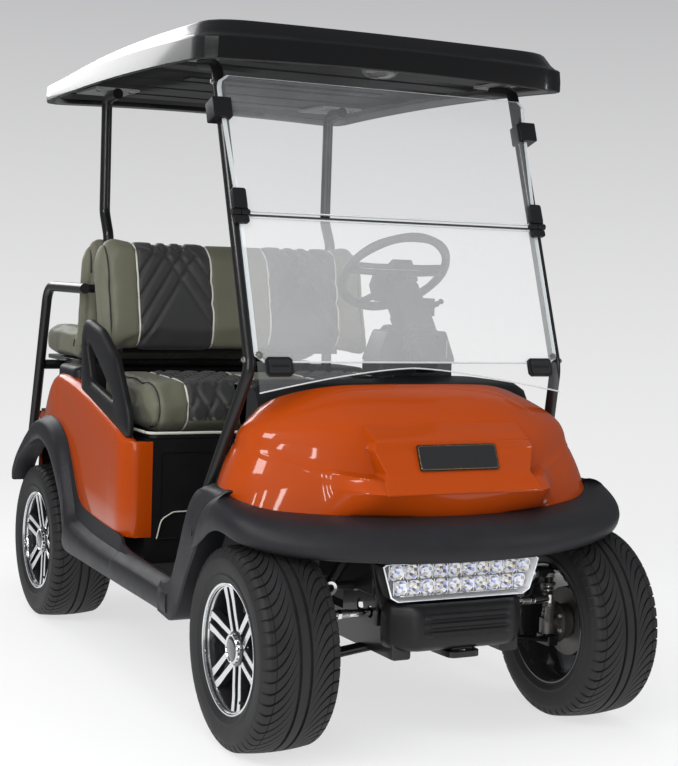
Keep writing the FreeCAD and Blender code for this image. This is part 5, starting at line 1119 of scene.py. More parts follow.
def build_struts():
    """Front struts with their feet, rear struts bent down between the seat backs."""
    shape = Shape()
    for side in (-1, 1):
        front, rear = side * 0.526, side * 0.409
        path = rounded([(front, -0.6625, 0.366), (front, -0.7405, 0.615), (side * 0.47, -0.8706, 0.954),
                        (side * 0.47, -0.5905, 1.7455), (side * 0.47, -0.4805, 1.76)], [0.05, 0.09, 0.04], 8)
        shape.tube(path, 0.016, "satin", 20)
        shape.prism(slab(0.03, -0.05, 0.045, 0.012), 0.0, 0.006, "satin", facing((front, -0.664, 0.3655), (0, 0, 1)))
        for dy in (-0.036, 0.032):
            bolt(shape, (front, -0.664 + dy, 0.3715), (0, 0, 1))
        path = rounded([(rear, y, z) for y, z in metres((458.5, 700), (458.5, 1300), (503.5, 1378), (503.5, 1752),
                                                        (393.5, 1759))], [0.06, 0.06, 0.035], 8)
        shape.tube(path, 0.0175, "satin", 20)
        shape.prism(slab(0.04, -0.03, 0.03, 0.01), 0.0, 0.007, "satin", facing((rear, 0.4585, 0.6935), (0, 0, 1)))
        for height in (0.972, 1.7):
            y = -0.8706 + (height - 0.954) * (0.2801 / 0.7915)
            bolt(shape, (side * 0.486, y, height), (side, 0, 0), 0.006, 0.006)
    shape.made("roof_struts", ("roof_struts",), "black_paint", angle=45.0)


RAKE = math.radians(19.5)
FOLD = Vector((0.0, -0.7525, 1.348))


def on_pane(x, up, out=0.0):
    """A place on the windshield: across, up the slope from the fold, and forward of its face."""
    return FOLD + Vector((x, up * math.sin(RAKE) - out * math.cos(RAKE), up * math.cos(RAKE) + out * math.sin(RAKE)))


def pane_grid(shape, half_at, low, high, corner, finish, bend=None):
    """A clear sheet with rounded corners, polished edges and a bright strip inside each side."""
    along, strip = 26, 0.011
    rows = []
    for i in range(along + 1):
        up = low + (high - low) * i / along
        near = min(up - low, high - up)
        cut = corner - math.sqrt(max(0.0, corner ** 2 - max(0.0, corner - near) ** 2)) if near < corner else 0.0
        half = half_at(up) - cut
        between = [(half - strip) * (-1.0 + 2.0 * j / 20) for j in range(1, 20)]
        spread = [-half, -half + strip, *between, half - strip, half]
        rows.append([(x, up) for x in spread])
    across = len(rows[0]) - 1
    faces = []
    for offset in (0.0, -0.0045):
        face = [[on_pane(x, up, offset + (bend(x, up) if bend else 0.0)) for x, up in row] for row in rows]
        edged = (0, across - 1) if offset == 0.0 else ()
        shape.grid(face, finish, pick=lambda i, j: "pane_edge" if j in edged else finish)
        faces.append(face)
    rim = [(0, j) for j in range(across + 1)] + [(i, across) for i in range(1, along + 1)]
    rim += [(along, j) for j in range(across - 1, -1, -1)] + [(i, 0) for i in range(along - 1, 0, -1)]
    shape.grid([[face[i][j] for i, j in rim] for face in faces], "pane_edge", closed_columns=True)


def build_windshield():
    """Two clear panes with polished edges, fold hinges, latches, top clips and lower retainers."""
    def half(up):
        return 0.466 + 0.02 * up / 0.384 if up > 0 else 0.466 - 0.004 * up / 0.4

    def skirt(x, share):
        """A point of the sheet's lower skirt, which bends back towards its curved edge."""
        drop = -0.418 - 0.068 * min(1.0, (abs(x) / 0.462) ** 1.5)
        up = -0.402 + (drop + 0.402) * share
        out = 0.0 if up > -0.4 else -0.25 * (-0.4 - up) + 0.02 * (x / 0.46) ** 2 * min(1.0, (-0.4 - up) / 0.09)
        return on_pane(x, up, out + 0.001)

    low = Shape()
    pane_grid(low, lambda up: 0.464, -0.402, -0.006, 0.022, "pane_low")
    rows = [[skirt(-0.46 + 0.92 * k / 40, share) for k in range(41)] for share in (0.0, 0.3, 0.6, 1.0)]
    low.grid(rows, "pane")
    low.tube(rows[-1], 0.002, "pane_edge", 8)
    low.tube([on_pane(-0.44 + 0.88 * k / 30, -0.4025, -0.002) for k in range(31)], 0.0026, "pane_edge", 8)
    low.made("lower_pane", ("windshield_lower",), "clear_pane", angle=40.0)
    high = Shape()
    pane_grid(high, half, 0.006, 0.384, 0.024, "pane", lambda x, up: 0.0 if up < 0.352 else 0.5 * (up - 0.352))
    high.made("upper_pane", ("windshield_upper",), "clear_pane", "windshield_upper_body", angle=40.0)
    fixed, moving = Shape(), Shape()
    across = Matrix((Vector((1, 0, 0)), Vector((0, math.sin(RAKE), math.cos(RAKE))),
                     Vector((0, -math.cos(RAKE), math.sin(RAKE))))).transposed().to_4x4()
    ahead = across.to_3x3() @ Vector((0, 0, 1))
    for side in (-1, 1):
        spot = Matrix.Translation(on_pane(side * 0.462, 0.0)) @ across
        moving.prism(slab(0.0205, 0.01, 0.066, 0.008, top=0.0195), 0.0008, 0.015, "black_moulding", spot)
        fixed.prism(slab(0.022, -0.03, -0.01, 0.007), 0.0008, 0.013, "black_moulding", spot)
        for x0, x1, low_y, high_y, shape in ((-0.025, -0.001, -0.014, 0.0, fixed),
                                             (0.001, 0.025, 0.0, 0.014, moving)):
            shape.tube([spot @ Vector((x, 0.0, 0.0085)) for x in (x0, x1)], 0.0088, "black_moulding", 20)
            shape.block((x0 + 0.002, low_y, 0.001), (x1 - 0.002, high_y, 0.01), "black_moulding", spot)
        for dy in (0.022, 0.046):
            bolt(moving, spot @ Vector((0, dy, 0.012)), ahead, 0.0035, 0.003, "black_moulding")
        clip = Matrix.Translation(on_pane(side * 0.484, 0.294)) @ across
        fixed.prism(rounded_outline(metres((-30, -28), (24, -28), (24, 28), (-30, 28)), 0.004), -0.0385, 0.013,
                    "black_moulding", clip @ Matrix.Diagonal((side, 1, 1, 1)))
        held = Matrix.Translation(on_pane(side * 0.4, -0.4)) @ across
        outline = metres((-38, -34), (-30, -42), (30, -42), (38, -34), (38, 2), (30, 9), (-30, 9), (-38, 2))
        fixed.prism(rounded_outline(outline, 0.004), -0.002, 0.007, "black_moulding", held)
        fixed.prism(slab(0.03, -0.034, 0.001, 0.004), 0.007, 0.0105, "gloss", held)
        fixed.block((-0.024, -0.018, 0.0105), (0.024, -0.013, 0.0135), "black_moulding", held)
        bolt(fixed, on_pane(side * 0.452, -0.385, 0.001), ahead, 0.007, 0.007)
    fixed.made("pane_latches", ("windshield_latches",), bevel=0.0012, angle=38.0)
    moving.made("pane_hinges", ("windshield_hinges",), body="windshield_upper_body", bevel=0.0012, angle=38.0)
    seal = Shape()
    for wide, up, out, radius, finish, sides in ((0.466, -0.0035, -0.002, 0.0032, "mat", 10),
                                                 (0.462, -0.0105, 0.0012, 0.0022, "pane_edge", 8),
                                                 (0.462, 0.0075, 0.0012, 0.0022, "pane_edge", 8)):
        seal.tube([on_pane(wide * (2 * k / 24 - 1), up, out) for k in range(25)], radius, finish, sides)
    seal.made("fold_seal", angle=60.0)


CUSHION_GRID = 0.0095
SWELL_FRAMES = 20
SWELL_LIMIT = 0.024
PANEL_EDGE = 0.36
STRIP_EDGE = 0.103
BOX_EDGE = 0.452


def block_between(outline, half, corner, turn=0.05, toward=(0.0, 1.0)):
    """A rounded block: a side outline of (y, z) pulled across; the corners on the toward side turn in wide."""
    shape = Shape()
    side = rounded_outline(outline, corner, steps=5)
    middle = Vector((sum(y for y, z in side) / len(side), sum(z for y, z in side) / len(side)))
    reach = [(Vector(p) - middle).dot(Vector(toward)) for p in side]
    far, near = max(reach), min(reach)
    rows = []
    for step in range(-9, 10):
        angle = math.radians(10 * abs(step))
        x = math.copysign(half - turn * (1 - math.sin(angle)) if step else 0.0, step)
        drop = 0.0
        if abs(x) > half - turn:
            drop = turn * (1 - math.cos(math.asin(min(1.0, (abs(x) - half + turn) / turn))))
        share = 1.0 if abs(x) < half - 0.012 else 0.95
        row = []
        for (y, z), out in zip(side, reach):
            spot = middle + (Vector((y, z)) - middle) * share - Vector(toward) * drop * (out - near) / (far - near)
            row.append(Vector((x, spot.x, spot.y)))
        rows.append(row)
    shape.grid(rows, "vinyl_olive", closed_columns=True)
    return shape.cap(rows[0], "vinyl_olive").cap(rows[-1], "vinyl_olive")


def swollen(shape, name, body, nodes, low, high):
    """The block remeshed, blown up as cloth, smoothed once and fitted to its true size."""
    piece = shape.made(name, nodes, "seat_vinyl", body)
    piece.parent = None
    piece.matrix_world = Matrix.Identity(4)
    remesh = piece.modifiers.new("remesh", "REMESH")
    remesh.mode = "VOXEL"
    remesh.voxel_size = CUSHION_GRID
    apply_modifiers(piece)
    before = [vertex.co.copy() for vertex in piece.data.vertices]
    cloth = piece.modifiers.new("cloth", "CLOTH")
    settings = cloth.settings
    settings.use_pressure = True
    settings.uniform_pressure_force = 4.0
    settings.effector_weights.gravity = 0.0
    settings.quality = 4
    settings.tension_stiffness = 18.0
    cloth.collision_settings.use_collision = False
    cloth.point_cache.frame_start, cloth.point_cache.frame_end = 1, SWELL_FRAMES
    for step in range(1, SWELL_FRAMES + 1):
        bpy.context.scene.frame_set(step)
    apply_modifiers(piece)
    bpy.context.scene.frame_set(1)
    for vertex, start in zip(piece.data.vertices, before):
        move = vertex.co - start
        if move.length > SWELL_LIMIT:
            vertex.co = start + move.normalized() * SWELL_LIMIT
    ease = piece.modifiers.new("ease", "SMOOTH")
    ease.iterations, ease.factor = 6, 0.5
    finer = piece.modifiers.new("finer", "SUBSURF")
    finer.levels = finer.render_levels = 1
    apply_modifiers(piece)
    points = [vertex.co for vertex in piece.data.vertices]
    for axis in range(3):
        least, most = min(p[axis] for p in points), max(p[axis] for p in points)
        for point in points:
            point[axis] = low[axis] + (point[axis] - least) * (high[axis] - low[axis]) / (most - least)
    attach(piece, body)
    return piece


def apply_modifiers(piece):
    """The piece's mesh with its modifiers worked in, and none of them left."""
    graph = bpy.context.evaluated_depsgraph_get()
    mesh = bpy.data.meshes.new_from_object(piece.evaluated_get(graph), depsgraph=graph)
    for material in piece.data.materials:
        if material.name not in mesh.materials:
            mesh.materials.append(material)
    piece.modifiers.clear()
    piece.data = mesh


def groove(distance, width, depth):
    return -depth * math.exp(-(distance / width) ** 2)


def across_line(point, start, end):
    """Distance of a flat point from a stretch of line, or from its nearer end."""
    line = Vector(end) - Vector(start)
    share = (Vector(point) - Vector(start)).dot(line) / line.length_squared
    return (Vector(point) - Vector(start) - line * min(max(share, 0.0), 1.0)).length


def chevrons(x, rise):
    """Inverted-V channels of a back panel: lines from both edges that meet and cross near the top."""
    middle = (PANEL_EDGE + STRIP_EDGE) / 2
    aside = abs(x) - middle
    half = (PANEL_EDGE - STRIP_EDGE) / 2
    height = 0.0
    for start in (0.02, 0.095, 0.17, 0.24):
        height += groove(across_line((aside, rise), (half, start), (half - 0.205, start + 0.3)), 0.0062, 1.0)
    for start in (0.08, 0.155, 0.23):
        height += groove(across_line((aside, rise), (-half, start), (-half + 0.195, start + 0.3)), 0.0062, 1.0)
    return max(height, -1.0)


def diamonds(x, run):
    """Diamond channels of a seat panel, closer together towards the front."""
    aside = abs(x) - (PANEL_EDGE + STRIP_EDGE) / 2
    height = 0.0
    for lean in (-1, 1):
        spot = (aside + lean * run * 0.62) / 0.062
        off = abs(spot - round(spot)) * 0.062 / math.hypot(1, 0.62)
        height += groove(off, 0.0058, 1.0)
    return max(height, -1.0)


def finish_cushion(piece, pattern, depth, face_test, run_of):
    """Sews the channels and gives each face its vinyl."""
    mesh = piece.data
    mesh.materials.clear()
    for finish in ("vinyl_olive", "vinyl_dark", "mat"):
        mesh.materials.append(FINISHES[finish])
    normals = [vertex.normal.copy() for vertex in mesh.vertices]
    for vertex, normal in zip(mesh.vertices, normals):
        x = abs(vertex.co.x)
        move = groove(x - BOX_EDGE, 0.006, 0.004)
        move += groove(x - PANEL_EDGE, 0.007, 0.005) + groove(x - STRIP_EDGE, 0.007, 0.005)
        if STRIP_EDGE < x < PANEL_EDGE and face_test(vertex.co, normal):
            edge = min(x - STRIP_EDGE, PANEL_EDGE - x)
            move += pattern(vertex.co.x, run_of(vertex.co)) * depth + 0.004 * min(1.0, edge / 0.03)
        vertex.co += normal * move
    for face in mesh.polygons:
        inside = STRIP_EDGE < abs(face.center.x) < PANEL_EDGE
        face.material_index = int(inside and face_test(face.center, face.normal))
    crease(piece, 180.0)


def seam_round(piece, x, middle, start, end, lift):
    """Points on the cushion's skin, round one side section from one angle to another."""
    tree = BVHTree.FromPolygons([v.co for v in piece.data.vertices], [tuple(f.vertices) for f in piece.data.polygons])
    line = []
    for step in range(49):
        angle = math.radians(start + (end - start) * step / 48)
        out = Vector((0, math.cos(angle), math.sin(angle)))
        spot, normal = tree.ray_cast(Vector((x, middle[0], middle[1])) + out * 0.6, -out)[:2]
        if spot is not None:
            line.append(spot + normal * lift)
    for _ in range(2):
        line = [line[0]] + [(a + b * 2 + c) / 4 for a, b, c in zip(line, line[1:], line[2:])] + [line[-1]]
    return line


def sew(piece, name, body, middle, start, end, sizes):
    """Piping along the panel edges and a dark sewn line along the boxing."""
    shape = Shape()
    radius = sizes.piping_radius * 0.8
    for side in (-1, 1):
        for edge in (PANEL_EDGE, STRIP_EDGE):
            shape.tube(seam_round(piece, side * edge, middle, start, end, 0.003), radius, "piping", 8)
        shape.tube(seam_round(piece, side * BOX_EDGE, middle, start, end, 0.0022), 0.0024, "mat", 8)
    shape.made(name, slot="seat_vinyl", body=body, angle=180.0)


def build_boards():
    """The board under each cushion, the front welt and the shell between the backs."""
    boards = Shape()
    boards.prism(slab(0.478, -0.17, 0.228, 0.03), 0.6925, 0.7062, "gloss")
    boards.made("front_board", ("front_seat_board",), body="front_seat_body", bevel=0.003, angle=40.0)
    lip = Shape()
    rim = at_height(slab(0.484, -0.1775, 0.233, 0.034, 8), 0.7108)
    lip.tube(rim + [rim[0]], 0.0045, "piping", 8)
    lip.made("front_cushion_welt", slot="seat_vinyl", body="front_seat_body", angle=180.0)
    boards = Shape()
    boards.prism(slab(0.442, 0.632, 1.028, 0.03), 0.8625, 0.876, "gloss")
    for x in (-0.3, 0.3):
        for y in (0.7, 0.96):
            bolt(boards, (x, y, 0.8625), (0, 0, -1))
    boards.made("rear_board", ("rear_seat_board",), body="rear_seat_body", bevel=0.003, angle=40.0)
    shell = Shape()
    outline = metres((338.5, 920), (423.5, 1255), (430, 1264), (478, 1264), (484.5, 1255), (536.5, 920))
    shell.prism(outline, -0.391, 0.391, "black", SIDEWAYS)
    ring = rounded_outline(metres((372, 960), (428, 1220), (478, 1220), (512, 960)), 0.012)
    for side in (-1, 1):
        shell.prism(ring, side * 0.391, side * 0.394, "black_moulding", SIDEWAYS)
    shell.made("back_shell", ("seat_back_shell",), bevel=0.004, angle=35.0)


def build_seats(sizes):
    """Front and rear cushions and backs, swollen, sewn and piped."""
    depth = sizes.quilt_depth
    seat = block_between(metres((-165, 722), (-172, 800), (-130, 846), (225, 860), (232, 722)), 0.478, 0.022, 0.06,
                         (-1.0, 0.0))
    front = swollen(seat, "front_cushion_pad", "front_seat_body", ("front_cushion",), (-0.492, -0.184, 0.7075),
                    (0.492, 0.2415, 0.87))
    finish_cushion(front, diamonds, depth * 0.8, lambda p, n: n.z > -0.35 and n.y < 0.8 and p.z > 0.735,
                   lambda p: p.y + 0.9 * (0.8 - p.z) * -1 if p.z < 0.8 else p.y)
    sew(front, "front_cushion_piping", "front_seat_body", (0.03, 0.78), 15.0, 205.0, sizes)
    for end, toward, half, outline, low, high, middle, start, stop in (
            ("front", 1, 0.466, metres((268, 935), (340, 1235), (362, 1272), (408, 1272), (402, 1235), (330, 935)),
             (-0.48, 0.26, 0.92), (0.48, 0.429, 1.288), (0.335, 1.1), 60.0, 278.0),
            ("rear", -1, 0.46, metres((596, 935), (548, 1235), (538, 1272), (498, 1272), (492, 1235), (546, 935)),
             (-0.474, 0.484, 0.92), (0.474, 0.605, 1.288), (0.545, 1.1), 120.0, -98.0)):
        back = block_between(outline, half, 0.02, 0.075)
        rest = swollen(back, end + "_back_pad", "cart_body", ("seat_backs",), low, high)
        finish_cushion(rest, chevrons, depth, lambda p, n: n.y * toward < 0.25 and p.z > 0.93, lambda p: p.z - 0.925)
        sew(rest, end + "_back_piping", "cart_body", middle, start, stop, sizes)
    seat = block_between(metres((632, 890), (632, 968), (1000, 976), (1028, 955), (1028, 890)), 0.442, 0.022, 0.06,
                         (1.0, 0.0))
    rear = swollen(seat, "rear_cushion_pad", "rear_seat_body", ("rear_cushion",), (-0.456, 0.618, 0.8765),
                   (0.456, 1.0415, 0.988))
    finish_cushion(rear, diamonds, depth * 0.8, lambda p, n: n.z > -0.35 and n.y > -0.8 and p.z > 0.9, lambda p: p.y)
    sew(rear, "rear_cushion_piping", "rear_seat_body", (0.83, 0.93), 165.0, -25.0, sizes)


BODY_PLAN = metres((470, -175), (500, -174.5), (518, -172.5), (532, -165), (547, -150), (557, -130), (561, -105),
                   (561.5, -60), (562, 50), (562, 150), (562, 250), (562, 350), (562, 450), (562, 530), (560.5, 580),
                   (552, 640), (541, 700), (531, 760), (520, 820), (511, 862), (498, 885), (475, 898), (440, 901.5),
                   (300, 901.5), (0, 901.5))
BODY_TOP = metres((-172.5, 686), (-150, 700), (-89, 723), (48, 760), (191, 796.5), (341, 828), (450, 840.5),
                  (510, 841), (545, 828), (600, 788), (660, 745), (720, 702), (800, 692), (905, 690))
BODY_LOW = metres((-172.5, 400), (2.5, 418), (200.5, 435), (257, 470), (294, 520), (338, 584), (388, 636), (462, 672),
                  (547, 685), (650, 668), (740, 616), (802, 570), (858, 524), (893.5, 470))


def build_body():
    """Orange rear body: both sides, wrapped corners and tail, with a rolled top edge, and its black top caps."""
    plan = curve_through([(x, y, 0) for x, y in BODY_PLAN], 130)
    columns = []
    for index, spot in enumerate(plan):
        ahead = plan[min(index + 1, len(plan) - 1)] - plan[max(index - 1, 0)]
        inward = Vector((-ahead.y, ahead.x, 0)).normalized()
        top, low = read_at(BODY_TOP, spot.y), read_at(BODY_LOW, spot.y)
        roll = 0.003 + 0.021 * min(1.0, max(0.0, (spot.y + 0.176) / 0.03))
        crease_z = 0.612 + (spot.y - 0.142) * 0.55
        line = [(low, 0.01), (low, 0.001), (low + 0.003, 0.0)]
        for share in (0.25, 0.5, 0.75):
            height = low + 0.003 + (top - roll - low - 0.003) * share
            dip = 0.0035 * math.exp(-((height - crease_z) / 0.05) ** 2) if -0.05 < spot.y < 0.5 else 0.0
            line.append((height, dip))
        for step in range(6):
            angle = math.radians(90 * step / 5)
            line.append((top - roll + roll * math.sin(angle), roll * (1 - math.cos(angle))))
        line += [(top - 0.001, roll + 0.016), (top - 0.01, roll + 0.018)]
        columns.append([spot + inward * depth + Vector((0, 0, z)) for z, depth in line])
    rows = [list(row) for row in zip(*columns)]
    skin = Shape()
    skin.grid(rows, "orange")
    skin.grid([[Vector((-p.x, p.y, p.z)) for p in reversed(row)] for row in rows], "orange")
    skin.made("rear_body_skin", ("rear_body",), "orange_paint", angle=50.0)
    cap = Shape()
    for side in (-1, 1):
        levels = []
        for z, g in metres((740, 0), (850, 0), (862, 3), (868, 10), (870, 22)):
            plan = rounded_outline([(0.4, 0.385 + g), (0.536 - g, 0.385 + g), (0.536 - g, 0.56),
                                    (0.515 - g, 0.62 - g), (0.4, 0.62 - g)], [0.0, 0.03, 0.04, 0.04, 0.0], 5)
            levels.append([Vector((side * x, y, z)) for x, y in plan])
        cap.grid(levels, "black_moulding", closed_columns=True)
        cap.cap(levels[-1], "black_moulding")
    cap.made("body_top_cap", angle=50.0)


# Side trim stations from the rear end over the arch and along the sill: outer edge, then inner or lower edge
TRIM_OUTER = metres((900, 448), (902, 480), (858, 534), (802, 580), (740, 628), (650, 680), (547, 696), (462, 684),
                    (388, 648), (338, 595), (294, 530), (257, 480), (212, 447), (114, 431), (-30, 418), (-167, 409),
                    (-200, 386), (-280, 374), (-480, 366), (-600, 362), (-645, 356))
TRIM_INNER = metres((872, 440), (862, 470), (822, 516), (770, 550), (706, 582), (640, 606), (565, 616), (466, 584),
                    (392, 520), (340, 462), (306, 404), (288, 345), (282, 296), (114, 288.5), (-30, 285.5),
                    (-167, 283), (-200, 282.5), (-280, 281), (-480, 278), (-600, 276), (-648, 276))
TRIM_CREASE = (0.06, 0.06, 0.06, 0.06, 0.06, 0.06, 0.06, 0.07, 0.09, 0.12, 0.16, 0.22, 0.28, 0.34, 0.36, 0.36, 0.2,
               0.12, 0.1, 0.1, 0.1)
# Share of the way from the outer to the inner edge and x: as it stands, counted from the crease, or kept past it
TRIM_SECTION = (("plain", 0.0, 0.556), ("plain", 0.0, 0.565), ("crease", 0.0, 0.5705), ("crease", 0.08, 0.585),
                ("crease", 0.18, 0.596), ("past", 0.35, 0.6005), ("past", 0.75, 0.6015), ("plain", 0.93, 0.6),
                ("plain", 1.0, 0.595), ("plain", 1.0, 0.53))

KICK_PLATE = metres((602.2, -588, 277, 594, -663, 262), (602.2, -592, 352, 594, -689, 275),
                    (593, -648, 370, 592, -724, 328), (592, -684, 424, 592, -770, 407),
                    (590, -712, 491, 591, -811, 464), (585, -726, 545, 590, -837, 506),
                    (574, -731, 592, 584, -855, 553), (565, -752, 622, 574, -880, 603),
                    (556, -792, 640, 562, -926, 638), (520, -788, 649, 530, -920, 648))


def build_side_trim():
    """Charcoal moulding a side: rear wheel arch running down into the sill, and the kick-up plate."""
    shape = Shape()
    for side in (-1, 1):
        stations = []
        for outer, inner, crease_share in zip(TRIM_OUTER, TRIM_INNER, TRIM_CREASE):
            line = []
            for kind, part, x in TRIM_SECTION:
                if kind == "crease":
                    part += crease_share
                elif kind == "past":
                    part = max(part, crease_share + 0.25)
                y, z = (o + (i - o) * part for o, i in zip(outer, inner))
                line.append(Vector((side * x, y, z)))
            stations.append(line)
        rows = [curve_through([line[index] for line in stations], 100) for index in range(len(TRIM_SECTION))]
        shape.grid(rows, "trim")
        for end in (0, -1):
            shape.cap([row[end] for row in rows], "trim")
        levels = []
        for lx, ly, lz, rx, ry, rz in KICK_PLATE:
            between = [(lx + (rx - lx) * k, ly + (ry - ly) * k, lz + (rz - lz) * k) for k in (0.06, 0.35, 0.65, 0.94)]
            levels.append([(lx - 0.06, ly, lz), (lx - 0.005, ly, lz), *between,
                           (rx - 0.005, ry, rz), (rx - 0.075, ry, rz)])
        shape.grid([curve_through([(side * x, y, z) for x, y, z in line], 40) for line in zip(*levels)], "trim")
        slot = facing((side * 0.5905, -0.795, 0.52), (side, 0, 0), (0.0, 0.15, 1.0))
        shape.prism([(0.0022 * x, 0.0085 * y) for x, y in circle(1.0, 20)], -0.001, 0.0006, "mat", slot)
    shape.made("side_trim", ("rocker_panels",), "charcoal_plastic", angle=38.0)


HIP_X = 0.534
HIP_SWELL = 0.0185
HIP_OUTER = metres((228, 1031), (272, 1026), (292, 985), (292, 775), (-85, 697), (-150, 690), (-162, 715),
                   (-150, 775), (-30, 930), (110, 1005))
HIP_HOLE = metres((226, 962), (236, 945), (200, 850), (180, 836), (-10, 796), (-30, 803))


def build_deck():
    """Deck between the rear body's sides, with the liner of each wheel well and the inner wall."""
    shell = Shape()
    outline = metres((555.5, 505), (555.5, 557.5), (500, 890), (-500, 890), (-555.5, 557.5), (-555.5, 505))
    shell.prism(rounded_outline(outline, 0.02), 0.6805, 0.69, "black")
    arc = [math.radians(angle) for angle in range(47, 178, 5)]
    for side in (-1, 1):
        def well(x, radius, angle):
            return Vector((side * x, AXLE_REAR_Y + radius * math.cos(angle), AXLE_Z + radius * math.sin(angle)))

        for radius in (0.377, 0.382):
            shell.grid([[well(x, radius, angle) for x in (0.372, 0.557)] for angle in arc], "black")
        inner = [well(0.372, 0.377, angle) for angle in arc]
        low = [Vector((side * 0.372, point.y, max(0.4, AXLE_Z + 0.3 * math.sin(angle))))
               for point, angle in zip(inner, arc)]
        shell.grid([inner, low], "black")
        shell.grid([[Vector((side * x, 0.884, z)) for x in (0.3, 0.4, 0.506)] for z in (0.44, 0.56, 0.682)], "black")
    shell.made("rear_deck", ("body_deck",), angle=40.0)


def build_restraints():
    """Rounded A-shaped hip restraint with its hand hole at each end of the bench."""
    shape = Shape()
    outer, hole = (match([Vector((0, y, z)) for y, z in rounded_outline(line, corner, 5)], 72)
                   for line, corner in ((HIP_OUTER, 0.03), (HIP_HOLE, 0.012)))
    for side in (-1, 1):
        loops = []
        for way, steps in ((1, range(15)), (-1, range(13, 0, -1))):
            for step in steps:
                angle = math.pi * step / 14
                x = side * (HIP_X + way * HIP_SWELL * math.sin(angle) ** 0.6)
                loops.append([o.lerp(h, (1 - math.cos(angle)) / 2) + Vector((x, 0, 0)) for o, h in zip(outer, hole)])
        shape.hoop(loops, "black_moulding")
    shape.made("hip_restraints", ("hip_restraints",), "black_plastic", angle=60.0)
    line = Shape()
    for side in (-1, 1):
        path = [(side * x, -0.1735, z) for x, z in metres((452, 395), (438, 452), (400, 474), (200, 474))]
        line.tube(rounded(path, 0.03), 0.0022, "piping", 8)
    line.block((-0.46, -0.1745, 0.393), (0.46, -0.1715, 0.3955), "gloss")
    line.made("base_pocket_line", angle=60.0)


STEERING_CENTER = (0.25, -0.3075, 1.208)
STEERING_AXIS = (0, 0.643, 0.766)


def build_steering_wheel():
    """Padded rim, double cross bar, top block and a broad lower hub."""
    shape = Shape()
    spot = facing(STEERING_CENTER, STEERING_AXIS, (0, -0.766, 0.643))
    rows = []
    for x, y in circle(0.166, 64):
        point = Vector((x, y, 0.0))
        out = point.normalized()
        bulge = 0.0135 + 0.0008 * math.cos(8 * math.atan2(point.y, point.x))
        rows.append([point + out * bulge * math.cos(angle) + Vector((0, 0, bulge * math.sin(angle)))
                     for angle in (math.tau * k / 16 for k in range(16))])
    shape.hoop(rows, "grip", spot)
    for y, z, radius in ((0.034, -0.006, 0.0085), (0.008, -0.008, 0.0095)):
        reach = math.sqrt(0.16 ** 2 - y ** 2)
        shape.tube([(-reach, y, z * 0.3), (-0.08, y, z), (0.08, y, z), (reach, y, z * 0.3)], radius, "grip", 12, spot)
    hub = rounded_outline(metres((-75, 12), (75, 12), (62, -60), (36, -105), (-36, -105), (-62, -60)), 0.014, 5)
    shape.prism(hub, -0.03, -0.002, "grip", spot)
    shape.prism([(x * 0.86, y * 0.86 - 0.006) for x, y in hub], -0.002, 0.002, "black_moulding", spot)
    shape.prism(slab(0.04, 0.036, 0.062, 0.006, top=0.034), -0.018, 0.0, "grip", spot)
    for side in (-1, 1):
        shape.tube([(side * 0.03, -0.095, -0.014), (side * 0.052, -0.128, -0.007), (side * 0.066, -0.15, 0.0)],
                   [0.012, 0.01, 0.01], "grip", 12, spot)
    shape.prism(circle(0.034, 28), -0.052, -0.03, "black_moulding", spot)
    shape.made("wheel_grip", ("steering_wheel",), "wheel_grip", "steering_wheel_body", angle=50.0)


def build_column():
    """Square ribbed shroud with the lever at its side, standing on the display pod."""
    shape = Shape()
    axis = Vector(STEERING_AXIS)
    spot = facing(Vector(STEERING_CENTER) - axis * 0.056, -axis, (0, 0.766, -0.643))
    for start, end, wide, deep in metres((0, 18, 36, 36), (18, 90, 41, 44), (90, 175, 44, 48)):
        shape.prism(slab(wide, -deep, deep, 0.009), start, end, "black_moulding", spot)
    for rib in range(6):
        z = 0.176 + rib * 0.009
        grow = 0.04 if rib % 2 else 0.046
        shape.prism(slab(grow, -grow, grow, 0.01), z, z + 0.01, "mat", spot)
    shape.prism(slab(0.032, -0.032, 0.032, 0.01), 0.228, 0.3, "black_moulding", spot)
    place = Vector((0.295, -0.372, 1.105))
    shape.block((place.x, place.y - 0.03, place.z - 0.026), (place.x + 0.048, place.y + 0.026, place.z + 0.028),
                "black_moulding")
    shape.tube([(0.34, -0.374, 1.106), (0.352, -0.372, 1.11), (0.386, -0.366, 1.124)], [0.008, 0.0065, 0.0065],
               "black_moulding", 12)
    for rib in range(5):
        x, y, z = 0.345 + rib * 0.006, rib * 0.001, rib * 0.002
        shape.tube([(x, -0.3735 + y, 1.108 + z), (x + 0.003, -0.373 + y, 1.109 + z)], 0.0088, "mat", 12)
    shape.tube([(0.384, -0.3665, 1.123), (0.3895, -0.3655, 1.126)], [0.0095, 0.0075], "black_moulding", 12)
    pod = [(-0.1, 1.036), (0.1, 1.036), (0.138, 0.94), (-0.138, 0.94)]
    face = Matrix.Translation((0.25, 0, 0)) @ UPRIGHT
    shape.prism(rounded_outline(pod, 0.012), -0.462, -0.368, "black_moulding", face)
    shape.prism(rounded_outline([(x * 0.9, 0.988 + (z - 0.988) * 0.84) for x, z in pod], 0.006), -0.3685, -0.3655,
                "gloss", face)
    shape.prism(slab(0.055, 1.016, 0.962, 0.003, top=0.06), -0.366, -0.3645, "smoke", face)
    shape.hoop(rings(metres((12.5, 0), (12.5, 2), (17.5, 2), (17.5, 0)), 32), "metal",
               facing((0.25, -0.463, 0.99), (0, -1, 0)))
    shape.block((0.352, -0.4635, 0.955), (0.356, -0.4615, 1.01), "bracket")
    shape.prism(rounded_outline(metres((125, -470), (375, -470), (390, -365), (110, -365)), 0.02), 0.9, 0.941,
                "black_moulding")
    shape.made("column_shroud", ("steering_column",), bevel=0.0018, angle=35.0)


